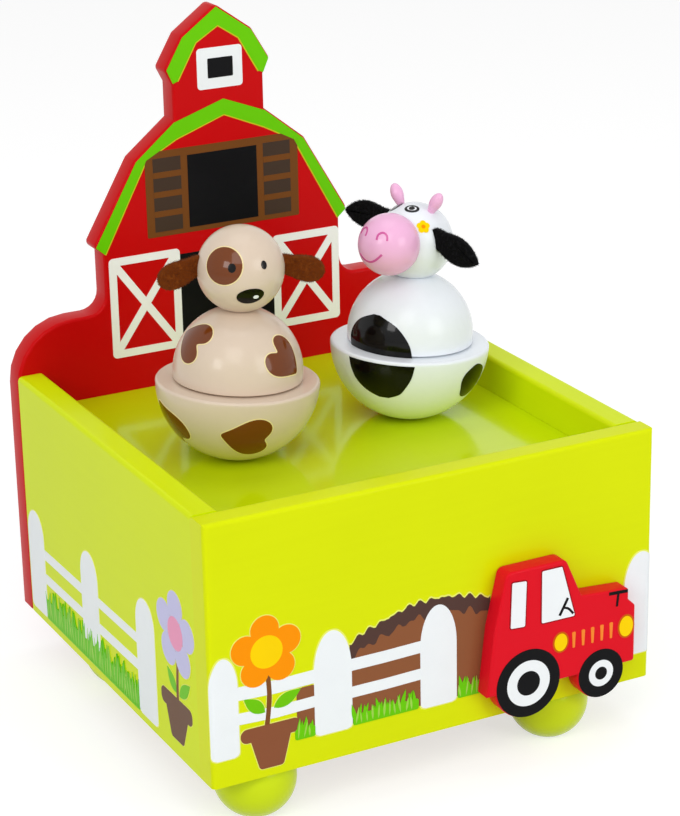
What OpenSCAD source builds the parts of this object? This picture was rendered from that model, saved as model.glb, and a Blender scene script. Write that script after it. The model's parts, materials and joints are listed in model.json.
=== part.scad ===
// Wooden musical box: a barn behind an open stage, on which a dog and a cow circle and turn,
// carried by magnets on a clockwork arm below the stage.
// X runs to the right, Y to the back and Z up. The origin is on the floor, on the winding axis.

/* [Case] */
// Width of the box and of the barn board
box_w = 120; // [112:1:140]
// Depth of the box in front of the barn board
box_d = 114; // [110:1:130]
// Height of the walls
wall_h = 66; // [62:1:80]
// Thickness of the side walls
side_t = 7.2; // [5:0.1:9]
// Thickness of the front wall
front_t = 7; // [5:0.1:9]
// Distance from the winding axis to the front face
front_reach = 58; // [56:1:64]
// Rounding of the walls' edges
edge_r = 1.2; // [0.4:0.1:2]
// Depth of the stage below the top of the walls
deck_drop = 9.4; // [6:0.1:12]
// Thickness of the stage
deck_t = 3; // [2:0.1:4]
// Depth of the grooves and rabbets that hold the stage and the bottom panel
groove_d = 3; // [1.5:0.1:4]
// Thickness of the bottom panel
bottom_t = 5; // [4:0.1:6]
// Radius of the hole in the bottom panel round the winding arbor
panel_hole_r = 6; // [4:0.1:8]
// Clearance of the glued wooden fits
wood_gap = 0.05; // [0.02:0.01:0.15]

/* [Feet] */
// Radius of the ball feet
foot_r = 9.6; // [8:0.1:11]
// Height of the glued face above the centre of a foot
foot_rise = 5; // [4.5:0.1:7]
// Depth of the flat under a foot
foot_flat = 0.6; // [0.3:0.1:1]
// Distance of the left feet from the left side of the box
foot_left = 15.5; // [14:0.5:24]
// Distance of the right feet from the right side of the box
foot_right = 23; // [14:0.5:24]
// Distance of the front feet from the front face
foot_front = 10.5; // [10:0.5:16]
// Distance of the rear feet from the barn board
foot_back = 24; // [14:0.5:30]

/* [Barn board] */
// Thickness of the barn board
board_t = 7; // [5:0.1:9]
// Height of the rounded shoulders above the bottom of the box
shoulder_h = 79; // [76:0.5:86]
// Radius of the shoulders
shoulder_r = 16; // [10:0.5:20]
// Half of the width of the barn
barn_half = 34.4; // [30:0.1:38]
// Radius of the hollow between shoulder and barn
barn_fillet = 5; // [2:0.5:7]
// Height of the underside of the barn's eaves
eave_h = 95; // [90:0.5:100]
// How far the eaves stand out
eave_out = 2.6; // [1:0.1:4]
// Height of the knee of the barn's roof
knee_h = 118.5; // [110:0.5:121]
// Half of the width at the knee of the barn's roof
knee_half = 24.5; // [20:0.5:28]
// Height at which the roof meets the ridge turret
turret_h = 127.7; // [124:0.1:130]
// Half of the width of the ridge turret
turret_half = 13; // [10:0.1:16]
// Height of the underside of the turret's eaves
turret_eave_h = 137; // [134:0.5:140]
// How far the turret's eaves stand out
turret_eave_out = 2; // [1:0.1:3]
// Height of the top of the turret's eaves
turret_eave_top = 141; // [139:0.5:143]
// Half of the width at the knee of the turret's roof
turret_knee_half = 10; // [7:0.5:12]
// Height of the knee of the turret's roof
turret_knee_h = 149.4; // [145:0.1:152]
// Height of the barn's peak above the bottom of the box
peak_h = 156.6; // [154:0.1:162]
// Rounding of the corners of the barn's outline
barn_corner_r = 1.5; // [0.5:0.1:2]

/* [Tractor] */
// Thickness of the tractor board
tractor_t = 5; // [3:0.1:7]
// Distance of the rear wheel's centre from the middle of the front
rear_wheel_x = 21.8; // [20:0.1:24]
// Height of the rear wheel's centre above the bottom of the box
rear_wheel_h = 9.4; // [8:0.1:11]
// Radius of the rear wheel
rear_wheel_r = 9.1; // [8:0.1:10]
// Distance of the front wheel's centre from the middle of the front
front_wheel_x = 42.6; // [40:0.1:44]
// Height of the front wheel's centre above the bottom of the box
front_wheel_h = 7; // [6:0.1:8]
// Radius of the front wheel
front_wheel_r = 6.6; // [6:0.1:8]
// Height of the cab's roof above the bottom of the box
cab_h = 39.5; // [36:0.1:42]
// Height of the bonnet above the bottom of the box
bonnet_h = 29; // [26:0.1:32]
// Height of the body's lower edge above the bottom of the box
sill_h = 8; // [7:0.1:10]
// Distance of the tractor's tail from the middle of the front
tail_x = 10.4; // [8:0.1:12]
// Distance of the back of the cab's roof from the middle of the front
cab_back_x = 15.8; // [13:0.1:18]
// Distance of the front of the cab's roof from the middle of the front
cab_front_x = 32.3; // [28:0.1:34]
// Distance of the windscreen's foot from the middle of the front
screen_x = 36.9; // [35:0.1:40]
// Distance of the tractor's nose from the middle of the front
nose_x = 52.4; // [51:0.1:56]
// Size of the step in the tractor's nose
nose_step = 2; // [1:0.1:3]

/* [Figures] */
// Lean of the figures to the right in degrees, as they stand on their magnets
figure_lean = 3.6; // [0:0.1:6]
// Gap between the stage and the figures
glide = 0.2; // [0.15:0.01:0.3]
// Radius of the half-ball base
bowl_r = 20.25; // [17:0.05:21]
// Depth of the flat under the base
bowl_flat = 0.8; // [0.6:0.05:1.5]
// Radius of the body's dome
dome_r = 16; // [14:0.1:17]
// Height of the dome's centre above the rim of the base
dome_rise = 2.2; // [1:0.1:4]
// Radius of the dowel that joins base, body and head
dowel_r = 2.5; // [1.5:0.1:3]
// How far the dowel reaches into the base
dowel_in_base = 8; // [5:0.5:11]
// How far the dowel reaches into the head
dowel_in_head = 6; // [4:0.5:7]
// Radius of the magnet in the base
magnet_r = 4; // [3:0.1:4.6]
// Height of the magnet in the base
magnet_h = 3; // [2:0.1:4]
// Clearance of the glued fits inside the figures
glue_gap = 0.03; // [0.01:0.01:0.1]

/* [Dog] */
// Radius of the circle on which the dog travels
dog_orbit_r = 23.5; // [23:0.1:26]
// Angle on that circle at which the dog stands, from the viewer's right
dog_angle = 181; // [170:1:190]
// Radius of the flat between the dog's body and head
dog_neck_r = 3.7; // [3:0.1:5]
// Radius of the dog's head
dog_head_r = 10.7; // [9:0.1:12]
// Direction in which the dog looks, 0 straight to the front, in degrees
dog_turn = -16; // [-90:1:90]
// How much more the dog's left ear droops than the mean, in degrees
dog_ear_uneven = -6; // [-12:1:12]
// Length of the dog's ears outside the head
dog_ear_l = 10.2; // [8:0.1:11]
// Width of the dog's ears
dog_ear_w = 6.8; // [5:0.1:9]
// Where the dog's ears are widest, as a share of their length
dog_ear_belly = 0.72; // [0.5:0.01:0.8]
// Width of the dog's ears at the tip
dog_ear_tip = 3.8; // [3.2:0.1:4.4]
// Height of the ears' roots over the middle of the dog's head, in degrees
dog_ear_root = 5; // [0:1:20]
// Droop of the dog's ears in degrees
dog_ear_droop = 19; // [0:1:30]

/* [Cow] */
// Radius of the circle on which the cow travels
cow_orbit_r = 26.9; // [23:0.1:28]
// Angle on that circle at which the cow stands, from the viewer's right
cow_angle = 7; // [-10:1:10]
// Radius of the flat between the cow's body and head
cow_neck_r = 4.8; // [3:0.1:5.5]
// Radius of the cow's head
cow_head_r = 9.8; // [8.5:0.1:11]
// Direction in which the cow looks, 0 straight to the front, in degrees
cow_turn = -67; // [-90:1:90]
// How much more the cow's left ear droops than the mean, in degrees
cow_ear_uneven = 5; // [-12:1:12]
// Length of the cow's ears outside the head
cow_ear_l = 12.4; // [8:0.1:13]
// Width of the cow's ears
cow_ear_w = 6.6; // [4:0.1:8]
// Where the cow's ears are widest, as a share of their length
cow_ear_belly = 0.46; // [0.3:0.01:0.7]
// Width of the cow's ears at the tip
cow_ear_tip = 1; // [0.8:0.1:2]
// Height of the ears' roots over the middle of the cow's head, in degrees
cow_ear_root = 24; // [0:1:30]
// Droop of the cow's ears in degrees
cow_ear_droop = 13; // [-20:1:20]
// Radius of the cow's muzzle
muzzle_r = 7.8; // [7:0.1:9]
// Distance of the muzzle's centre in front of the centre of the head
muzzle_out = 10.3; // [9:0.1:11]
// Height of the muzzle's centre above the centre of the head
muzzle_up = 1; // [-1:0.1:3]
// Radius of the cow's horns
horn_r = 1.8; // [1.3:0.1:2.2]
// Length of the cow's horns outside the head
horn_l = 5.6; // [3:0.1:6.5]
// Lean of the horns away from upright in degrees
horn_lean = 29; // [15:1:35]
// Thickness of the felt ears
felt_t = 1.8; // [1.2:0.1:2.4]
// How far a felt ear reaches into its slot
ear_tab = 3; // [2:0.1:4]
// Width of the tab of a felt ear
ear_tab_w = 4; // [3:0.1:5]

/* [Clockwork] */
// Thickness of the movement's bedplate
bed_t = 1.6; // [1.2:0.1:2.5]
// Radius of the winding arbor
arbor_r = 2; // [1.6:0.1:2.4]
// Clearance of turning shafts in their bearings
run_gap = 0.04; // [0.02:0.01:0.08]
// Clearance of pressed and screwed fits
press_gap = 0.02; // [0.01:0.01:0.04]
// Outer radius of the spring housing
housing_r = 14; // [13:0.1:14.4]
// Height of the spring housing
housing_h = 10; // [8:0.1:12]
// Wall of the spring housing
housing_wall = 1; // [0.8:0.1:1.5]
// Thickness of the mainspring's strip
spring_t = 0.5; // [0.3:0.05:0.6]
// Turns of the mainspring
spring_turns = 5; // [4:1:6]
// Gap between spring housing and crown wheel
crown_gap = 0.4; // [0.3:0.1:0.8]
// Thickness of the crown wheel's disc
crown_t = 1.4; // [1:0.1:2]
// Teeth of the crown wheel
crown_teeth = 30; // [30:30:30]
// Teeth of the cylinder's pinion
pinion_teeth = 10; // [10:10:10]
// Size of the crown wheel's teeth, pitch diameter over number of teeth
crown_module = 0.9; // [0.88:0.01:0.92]
// Length of the crown wheel's teeth along the radius
crown_face = 2.6; // [2.2:0.1:2.8]
// Teeth of the wheel on the cylinder's end
great_teeth = 24; // [24:24:24]
// Teeth of the governor's pinion
leaf_teeth = 12; // [12:12:12]
// Size of the teeth between cylinder and governor
train_module = 0.6; // [0.58:0.01:0.62]
// Teeth of the worm wheel
worm_wheel_teeth = 24; // [24:24:24]
// Size of the worm wheel's teeth
worm_module = 0.5; // [0.48:0.01:0.52]
// Threads of the worm
worm_starts = 2; // [2:2:2]
// Pitch radius of the worm
worm_r = 1.6; // [1.5:0.05:1.8]
// Length of the worm
worm_l = 7; // [6:0.5:8]
// Radius of the tune cylinder
cylinder_r = 6.5; // [6:0.1:6.8]
// Height of the pins on the tune cylinder
pin_h = 0.7; // [0.5:0.05:0.8]
// Radius of the pins on the tune cylinder
pin_r = 0.25; // [0.2:0.01:0.3]
// Pins for each tooth of the comb
pins_per_note = 2; // [1:1:3]
// Radius of the tune cylinder's arbor
cylinder_arbor_r = 1; // [0.8:0.05:1.2]
// Teeth of the comb
notes = 18; // [15:1:20]
// Spacing of the comb's teeth
note_pitch = 0.85; // [0.75:0.01:0.9]
// Slot between the comb's teeth
note_slot = 0.3; // [0.2:0.01:0.4]
// Length of the comb's teeth
note_l = 8; // [6:0.5:10]
// Depth of the comb's solid back
comb_back = 10; // [8:0.5:12]
// Thickness of the comb
comb_t = 1; // [0.8:0.1:1.4]
// Gap between the comb's tips and the path of the pins
comb_gap = 0.3; // [0.2:0.05:0.5]
// Thickness of the bearing plates
plate_t = 1.2; // [1:0.1:1.4]
// Side gap between the pieces along the cylinder
side_gap = 0.4; // [0.3:0.05:0.5]
// Radius of the governor wheel's arbor
leaf_arbor_r = 0.8; // [0.6:0.05:1]
// Radius of the worm's arbor
worm_arbor_r = 0.6; // [0.5:0.05:0.7]
// Width of the governor's fan
fan_w = 9; // [7:0.5:10]
// Height of the governor's fan
fan_h = 3.6; // [2.5:0.1:4.5]

/* [Magnet arm and key] */
// Gap between the magnet arm and the stage
arm_gap = 1.6; // [1:0.1:2.5]
// Thickness of the magnet arm
arm_t = 4; // [3.6:0.1:5]
// Radius of the magnet arm's ends
arm_end_r = 8; // [7:0.1:9]
// Width of the magnet arm between its ends
arm_w = 9; // [6:0.1:12]
// Radius of the magnets in the arm
arm_magnet_r = 6; // [4:0.1:6.5]
// Height of the magnets in the arm
arm_magnet_h = 3; // [2:0.1:3.2]
// Radius of the hubs of arm and key
hub_r = 4.5; // [3.6:0.1:5.5]
// Height of the hub below the magnet arm
arm_hub_h = 6; // [4:0.5:8]
// Height of the key above the floor
key_clear = 2; // [1.5:0.1:3]
// Radius of the key's wings
wing_r = 5.5; // [4.5:0.1:5.6]
// Distance of the wings' centres from the winding axis
wing_reach = 9; // [8:0.1:11]
// Radius of the holes in the wings
wing_hole_r = 2.8; // [2:0.1:3.2]
// Thickness of the key's wings
wing_t = 2.4; // [1.8:0.1:3]

/* [Hidden] */
$fn = 64;
// Straight pieces in each rounded corner of an outline
corner_steps = 6;
// Overshoot of cutting tools
cut = 1;

base_z = foot_rise + foot_r - foot_flat;
wall_top = base_z + wall_h;
deck_top = wall_top - deck_drop;
deck_under = deck_top - deck_t;
panel_top = base_z + bottom_t;
front_y = -front_reach;
board_y = front_y + box_d;
inner_half = box_w / 2 - side_t;
// Half of the width of what is housed in the grooves of the side walls
housed_half = inner_half + groove_d - wood_gap;
housed_front = front_y + front_t - groove_d + wood_gap;
housed_back = board_y - wood_gap;

rim_h = bowl_r - bowl_flat;
// Radius of the flat under the base
flat_r = sqrt(pow(bowl_r, 2) - pow(rim_h, 2));
// How much a leaning base is raised, so that the edge of its flat stays clear of the stage
lean_lift = flat_r * sin(figure_lean) - rim_h * (1 - cos(figure_lean));
stand_z = deck_top + glide + lean_lift;
dome_h = rim_h + dome_rise;
dog_neck_h = dome_h + sqrt(pow(dome_r, 2) - pow(dog_neck_r, 2));
cow_neck_h = dome_h + sqrt(pow(dome_r, 2) - pow(cow_neck_r, 2));
dog_head_h = dog_neck_h + sqrt(pow(dog_head_r, 2) - pow(dog_neck_r, 2));
cow_head_h = cow_neck_h + sqrt(pow(cow_head_r, 2) - pow(cow_neck_r, 2));
dog_spot = dog_orbit_r * [cos(dog_angle), sin(dog_angle)];
cow_spot = cow_orbit_r * [cos(cow_angle), sin(cow_angle)];
// The magnet arm's way from the dog's magnet to the cow's
arm_way = cow_spot - dog_spot;
horn_spigot_r = horn_r * 0.6;
horn_spigot_l = 2.5;

bed_top = panel_top + bed_t;
housing_top = bed_top + housing_h;
crown_z = housing_top + crown_gap;
crown_pitch_r = crown_module * crown_teeth / 2;
crown_out_r = crown_pitch_r + crown_face / 2;
// Step of the teeth behind the rim or the end of their wheel
tooth_relief = 0.1;
pinion_pitch_r = crown_module * pinion_teeth / 2;
// Share of a tooth's module above and below its pitch line
addendum = 0.7;
dedendum = 1.1;
crown_root_z = crown_z + crown_t;
// Height of the crown wheel's hub above its disc
crown_hub_rise = 2;
crown_hub_h = crown_t + crown_hub_rise;
crown_pitch_z = crown_root_z + crown_module;
train_z = crown_pitch_z + pinion_pitch_r;

left_plate_x = crown_out_r + side_gap;
drum_x = left_plate_x + plate_t + side_gap;
drum_l = notes * note_pitch + 2 * side_gap;
great_x = drum_x + drum_l;
great_t = 1.6;
right_plate_x = great_x + great_t + side_gap;
worm_wheel_x = right_plate_x + plate_t + side_gap;
worm_wheel_t = 1;
great_pitch_r = train_module * great_teeth / 2;
leaf_pitch_r = train_module * leaf_teeth / 2;
leaf_y = great_pitch_r + leaf_pitch_r;
worm_wheel_pitch_r = worm_module * worm_wheel_teeth / 2;
worm_x = worm_wheel_x + worm_wheel_t / 2;
worm_y = leaf_y + worm_wheel_pitch_r + worm_r;
worm_tip_r = worm_r + addendum * worm_module;
worm_root_r = worm_r - dedendum * worm_module;
end_plate_x = worm_x + worm_tip_r + side_gap;
worm_lead = PI * worm_module * worm_starts;
worm_rings_per_turn = 14;
// Room above and below the worm
worm_room = 2;
tab_under = train_z - worm_l / 2 - worm_room;
tab_over = train_z + worm_l / 2 + worm_room;
tab_half = 3;
// Margins of the bearing plates above and beside the shafts
plate_over = 4;
plate_half = 5;
plate_end = 3;
plate_top = train_z + plate_over;

comb_tip_y = -(cylinder_r + pin_h + comb_gap);
comb_root_y = comb_tip_y - note_l;
comb_end_y = comb_root_y - comb_back;
comb_z = train_z - comb_t / 2;
comb_x = drum_x + side_gap;
comb_w = notes * note_pitch;
comb_screw_r = 0.8;
comb_screw_head_r = 1.8;
comb_screw_l = 5;
comb_screw_x = [comb_x + comb_w * 0.25, comb_x + comb_w * 0.75];
comb_screw_y = comb_root_y - comb_back * 0.55;

bed_margin = 6;
bed_left = -housing_r - bed_margin;
bed_right = end_plate_x + plate_t + bed_margin;
bed_front = comb_end_y - bed_margin;
bed_back = worm_y + tab_half + bed_margin;
bed_screw_r = 1.2;
bed_screw_head_r = 2.2;
bed_screw_l = 4;
bed_screw_inset = 4;
bed_screw_at = [
    for (x = [bed_left + bed_screw_inset, bed_right - bed_screw_inset])
        for (y = [bed_front + bed_screw_inset, bed_back - bed_screw_inset]) [x, y]
];

arm_top = deck_under - arm_gap;
arm_z = arm_top - arm_t;
// How far the ends of arbors and screws stop short
end_gap = 0.5;
arbor_top = arm_top - end_gap;
wing_z = key_clear + wing_r;
// Steps of the key's hub below the box, above the wings' lower edge and under the arbor
key_step = 1;
key_hub_top = base_z - key_step;
key_hub_low = key_clear + key_step;
arbor_low = key_hub_low + 2 * key_step;

// Outlines with rounded corners

function unit(v) = v / norm(v);

// Points of the arc that rounds the corner b between its neighbours a and c
function corner_arc(a, b, c, r) =
    let (
        u = unit(a - b),
        v = unit(c - b),
        half = acos(max(-1, min(1, u * v))) / 2,
        mid = b + unit(u + v) * r / sin(half),
        from = b + u * r / tan(half) - mid,
        to = b + v * r / tan(half) - mid,
        start = atan2(from.y, from.x),
        turn = (atan2(to.y, to.x) - start + 540) % 360 - 180
    )
    [
        for (i = [0:corner_steps])
            let (angle = start + turn * i / corner_steps)
            mid + r * [cos(angle), sin(angle)]
    ];

// Outline through points [x, y, r], each corner rounded by its own radius r
function rounded(points) =
    let (n = len(points))
    [
        for (i = [0:n - 1])
            let (
                a = points[(i + n - 1) % n],
                b = points[i],
                c = points[(i + 1) % n]
            )
            each b.z > 0
                ? corner_arc([a.x, a.y], [b.x, b.y], [c.x, c.y], b.z)
                : [[b.x, b.y]]
    ];

function mirrored(points) = [for (i = [len(points) - 1:-1:0]) [-points[i].x, points[i].y, points[i].z]];

// Outline extruded from the plane y = 0 towards the front
module upright(outline, depth) {
    rotate([90, 0, 0])
        linear_extrude(depth)
            polygon(outline);
}

// Case

module front_profile() {
    polygon(rounded([
        [front_y, base_z, 0],
        [front_y + front_t, base_z, 0],
        [front_y + front_t, wall_top, edge_r],
        [front_y, wall_top, edge_r]
    ]));
}

module front_plan() {
    polygon(rounded([
        [-box_w / 2, front_y, edge_r],
        [box_w / 2, front_y, edge_r],
        [box_w / 2, front_y + front_t, 0],
        [-box_w / 2, front_y + front_t, 0]
    ]));
}

// Room for the stage and the bottom panel, cut from the inner faces of the walls
module housings() {
    span = 2 * (housed_half + wood_gap);
    depth = board_y - housed_front + wood_gap + cut;
    translate([-span / 2, housed_front - wood_gap, deck_under - wood_gap])
        cube([span, depth, deck_t + 2 * wood_gap]);
    translate([-span / 2, housed_front - wood_gap, base_z - cut])
        cube([span, depth, bottom_t + cut + wood_gap]);
}

module front_wall() {
    color("yellowgreen")
        difference() {
            intersection() {
                rotate([90, 0, 90])
                    translate([0, 0, -box_w / 2])
                        linear_extrude(box_w)
                            front_profile();
                linear_extrude(wall_top + cut)
                    front_plan();
            }
            housings();
        }
}

// Side wall on the right; its outer, inner and top edges are rounded
module side_wall() {
    color("yellowgreen")
        difference() {
            translate([0, board_y, 0])
                upright(rounded([
                    [inner_half, base_z, 0],
                    [box_w / 2, base_z, 0],
                    [box_w / 2, wall_top, edge_r],
                    [inner_half, wall_top, edge_r]
                ]), box_d - front_t);
            housings();
        }
}

module right_wall() {
    side_wall();
}

module left_wall() {
    mirror([1, 0, 0])
        side_wall();
}

function barn_side() = [
    [box_w / 2, 0, 0],
    [box_w / 2, shoulder_h, shoulder_r],
    [barn_half, shoulder_h, barn_fillet],
    [barn_half, eave_h, 0],
    [barn_half + eave_out, eave_h + eave_out * 0.8, barn_corner_r],
    [knee_half, knee_h, barn_corner_r],
    [turret_half, turret_h, 0],
    [turret_half, turret_eave_h, 0],
    [turret_half + turret_eave_out, turret_eave_top, barn_corner_r],
    [turret_knee_half, turret_knee_h, barn_corner_r]
];

module barn_board() {
    peak = [[0, peak_h, barn_corner_r]];
    color("firebrick")
        translate([0, board_y + board_t, base_z])
            upright(rounded(concat(barn_side(), peak, mirrored(barn_side()))), board_t);
}

module stage_deck() {
    color("olivedrab")
        translate([-housed_half, housed_front, deck_under])
            cube([2 * housed_half, housed_back - housed_front, deck_t]);
}

module bottom_panel() {
    color("burlywood")
        difference() {
            translate([-housed_half, housed_front, base_z])
                cube([2 * housed_half, housed_back - housed_front, bottom_t]);
            translate([0, 0, base_z - cut])
                cylinder(r = panel_hole_r, h = bottom_t + 2 * cut);
            for (at = bed_screw_at)
                translate([at.x, at.y, panel_top - bed_screw_l])
                    cylinder(r = bed_screw_r + press_gap, h = bed_screw_l + cut);
        }
}

// Ball foot, cut flat where it is glued and where it stands
module foot(x, y) {
    color("yellowgreen")
        translate([x, y, 0])
            intersection() {
                translate([0, 0, base_z - foot_rise])
                    sphere(r = foot_r);
                cylinder(r = foot_r + cut, h = base_z);
            }
}

module foot_front_left() {
    foot(foot_left - box_w / 2, front_y + foot_front);
}

module foot_front_right() {
    foot(box_w / 2 - foot_right, front_y + foot_front);
}

module foot_rear_left() {
    foot(foot_left - box_w / 2, board_y - foot_back);
}

module foot_rear_right() {
    foot(box_w / 2 - foot_right, board_y - foot_back);
}

module tractor() {
    small_r = 0.8;
    roof_r = 2;
    body = rounded([
        [tail_x, sill_h, 0],
        [nose_x, sill_h, small_r],
        [nose_x, bonnet_h - 3 * nose_step, small_r],
        [nose_x - nose_step, bonnet_h - 2 * nose_step, small_r],
        [nose_x - nose_step, bonnet_h - nose_step / 2, small_r],
        [screen_x, bonnet_h, small_r],
        [cab_front_x, cab_h, roof_r],
        [cab_back_x, cab_h, roof_r],
        [tail_x + nose_step, bonnet_h - 2 * nose_step, roof_r]
    ]);
    color("crimson")
        translate([0, front_y, base_z]) {
            upright(body, tractor_t);
            translate([rear_wheel_x, 0, rear_wheel_h])
                rotate([90, 0, 0])
                    cylinder(r = rear_wheel_r, h = tractor_t);
            translate([front_wheel_x, 0, front_wheel_h])
                rotate([90, 0, 0])
                    cylinder(r = front_wheel_r, h = tractor_t);
        }
}

// Figures, each built over its own upright axis and looking to the front

// A figure leans about the centre of its half-ball base
module on_spot(spot, turn) {
    translate([spot.x, spot.y, stand_z + rim_h])
        rotate([0, figure_lean, 0])
            translate([0, 0, -rim_h])
                rotate([0, 0, turn])
                    children();
}

module on_dog_spot() {
    on_spot(dog_spot, dog_turn)
        children();
}

module on_cow_spot() {
    on_spot(cow_spot, cow_turn)
        children();
}

module dowel_bore(low, high) {
    translate([0, 0, low])
        cylinder(r = dowel_r + glue_gap, h = high - low);
}

module bowl() {
    difference() {
        intersection() {
            translate([0, 0, rim_h])
                sphere(r = bowl_r);
            cylinder(r = bowl_r + cut, h = rim_h);
        }
        translate([0, 0, -cut])
            cylinder(r = magnet_r + glue_gap, h = magnet_h + glue_gap + cut);
        dowel_bore(rim_h - dowel_in_base - glue_gap, rim_h + cut);
    }
}

module magnet() {
    color("silver")
        cylinder(r = magnet_r, h = magnet_h);
}

module dome(neck_h) {
    difference() {
        intersection() {
            translate([0, 0, dome_h])
                sphere(r = dome_r);
            translate([0, 0, rim_h])
                cylinder(r = dome_r + cut, h = neck_h - rim_h);
        }
        dowel_bore(rim_h - cut, neck_h + cut);
    }
}

module dowel(neck_h) {
    color("burlywood")
        translate([0, 0, rim_h - dowel_in_base])
            cylinder(r = dowel_r, h = dowel_in_base + neck_h - rim_h + dowel_in_head);
}

module head_ball(r, height, neck_h) {
    difference() {
        intersection() {
            translate([0, 0, height])
                sphere(r = r);
            translate([0, 0, neck_h])
                cylinder(r = r + cut, h = 2 * r);
        }
        dowel_bore(neck_h - cut, neck_h + dowel_in_head + glue_gap);
    }
}

// Place of an ear: side is 1 on the right of the viewer and -1 on the left
module ear_place(side, head_r, height, root, droop) {
    translate([0, 0, height])
        mirror([side < 0 ? 1 : 0, 0, 0])
            rotate([0, -root, 0])
                translate([head_r, 0, 0])
                    rotate([0, root + droop, 0])
                        children();
}

// Slot for the tab of an ear, wider than the tab by the gap on each side
module ear_slot(gap) {
    thick = felt_t + 2 * gap;
    wide = ear_tab_w + 2 * gap;
    translate([-ear_tab - gap, -thick / 2, -wide / 2])
        cube([2 * ear_tab, thick, wide]);
}

// Felt leaf with a straight tab that is glued into the head
module felt_ear(length, width, belly, tip) {
    half = [
        [-ear_tab, -ear_tab_w / 2, 0.4],
        [length * 0.12, -ear_tab_w / 2, 1],
        [length * belly, -width / 2, width * 0.35],
        [length, -tip / 2, tip * 0.4]
    ];
    other = [for (i = [len(half) - 1:-1:0]) [half[i].x, -half[i].y, half[i].z]];
    translate([0, felt_t / 2, 0])
        upright(rounded(concat(half, other)), felt_t);
}

// Ear cut to the ball of the head, so that only its tab enters it
module seated_ear(head_r, height) {
    difference() {
        children(0);
        difference() {
            translate([0, 0, height])
                sphere(r = head_r + glue_gap);
            children(1);
        }
    }
}

module dog_ear_place(side) {
    ear_place(side, dog_head_r, dog_head_h, dog_ear_root, dog_ear_droop + side * dog_ear_uneven)
        children();
}

module dog_base() {
    color("wheat")
        on_dog_spot()
            bowl();
}

module dog_magnet() {
    on_dog_spot()
        magnet();
}

module dog_body() {
    color("wheat")
        on_dog_spot()
            dome(dog_neck_h);
}

module dog_dowel() {
    on_dog_spot()
        dowel(dog_neck_h);
}

module dog_head() {
    color("wheat")
        on_dog_spot()
            difference() {
                head_ball(dog_head_r, dog_head_h, dog_neck_h);
                for (side = [-1, 1])
                    dog_ear_place(side)
                        ear_slot(glue_gap);
            }
}

module dog_ear(side) {
    color("saddlebrown")
        on_dog_spot()
            seated_ear(dog_head_r, dog_head_h) {
                dog_ear_place(side)
                    felt_ear(dog_ear_l, dog_ear_w, dog_ear_belly, dog_ear_tip);
                dog_ear_place(side)
                    ear_slot(glue_gap / 2);
            }
}

module dog_left_ear() {
    dog_ear(1);
}

module dog_right_ear() {
    dog_ear(-1);
}

module cow_ear_place(side) {
    ear_place(side, cow_head_r, cow_head_h, cow_ear_root, cow_ear_droop + side * cow_ear_uneven)
        children();
}

module horn_place(side) {
    translate([0, 0, cow_head_h])
        rotate([0, side * horn_lean, 0])
            translate([0, 0, cow_head_r])
                children();
}

// Rounded peg on a spigot
module horn_peg() {
    rotate_extrude()
        intersection() {
            polygon(rounded([
                [-horn_r * 0.8, -0.3, 0],
                [horn_r * 0.8, -0.3, 0],
                [horn_r * 1.05, horn_l * 0.45, horn_r],
                [horn_r * 0.5, horn_l, horn_r * 0.45],
                [-horn_r * 0.5, horn_l, horn_r * 0.45],
                [-horn_r * 1.05, horn_l * 0.45, horn_r]
            ]));
            translate([0, -cut])
                square([2 * horn_r, horn_l + 2 * cut]);
        }
}

module cow_base() {
    color("white")
        on_cow_spot()
            bowl();
}

module cow_magnet() {
    on_cow_spot()
        magnet();
}

module cow_body() {
    color("white")
        on_cow_spot()
            dome(cow_neck_h);
}

module cow_dowel() {
    on_cow_spot()
        dowel(cow_neck_h);
}

module cow_head() {
    color("white")
        on_cow_spot()
            difference() {
                head_ball(cow_head_r, cow_head_h, cow_neck_h);
                for (side = [-1, 1]) {
                    cow_ear_place(side)
                        ear_slot(glue_gap);
                    horn_place(side)
                        translate([0, 0, -horn_spigot_l - glue_gap])
                            cylinder(r = horn_spigot_r + glue_gap, h = horn_spigot_l + cut);
                }
            }
}

// Ball with a hollow that seats on the head
module cow_muzzle() {
    reach = norm([muzzle_out, muzzle_up]);
    color("pink")
        on_cow_spot()
            translate([0, 0, cow_head_h])
                rotate([90 - atan2(muzzle_up, muzzle_out), 0, 0])
                    difference() {
                        translate([0, 0, reach])
                            sphere(r = muzzle_r);
                        sphere(r = cow_head_r + glue_gap);
                    }
}

module cow_ear(side) {
    color("dimgray")
        on_cow_spot()
            seated_ear(cow_head_r, cow_head_h) {
                cow_ear_place(side)
                    felt_ear(cow_ear_l, cow_ear_w, cow_ear_belly, cow_ear_tip);
                cow_ear_place(side)
                    ear_slot(glue_gap / 2);
            }
}

module cow_left_ear() {
    cow_ear(1);
}

module cow_right_ear() {
    cow_ear(-1);
}

module cow_horn(side) {
    color("pink")
        on_cow_spot()
            difference() {
                horn_place(side) {
                    horn_peg();
                    translate([0, 0, -horn_spigot_l])
                        cylinder(r = horn_spigot_r, h = horn_spigot_l + cut);
                }
                difference() {
                    translate([0, 0, cow_head_h])
                        sphere(r = cow_head_r + glue_gap);
                    horn_place(side)
                        translate([0, 0, -2 * horn_spigot_l])
                            cylinder(r = horn_spigot_r + glue_gap / 2, h = 3 * horn_spigot_l);
                }
            }
}

module cow_left_horn() {
    cow_horn(1);
}

module cow_right_horn() {
    cow_horn(-1);
}

// Clockwork

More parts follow.
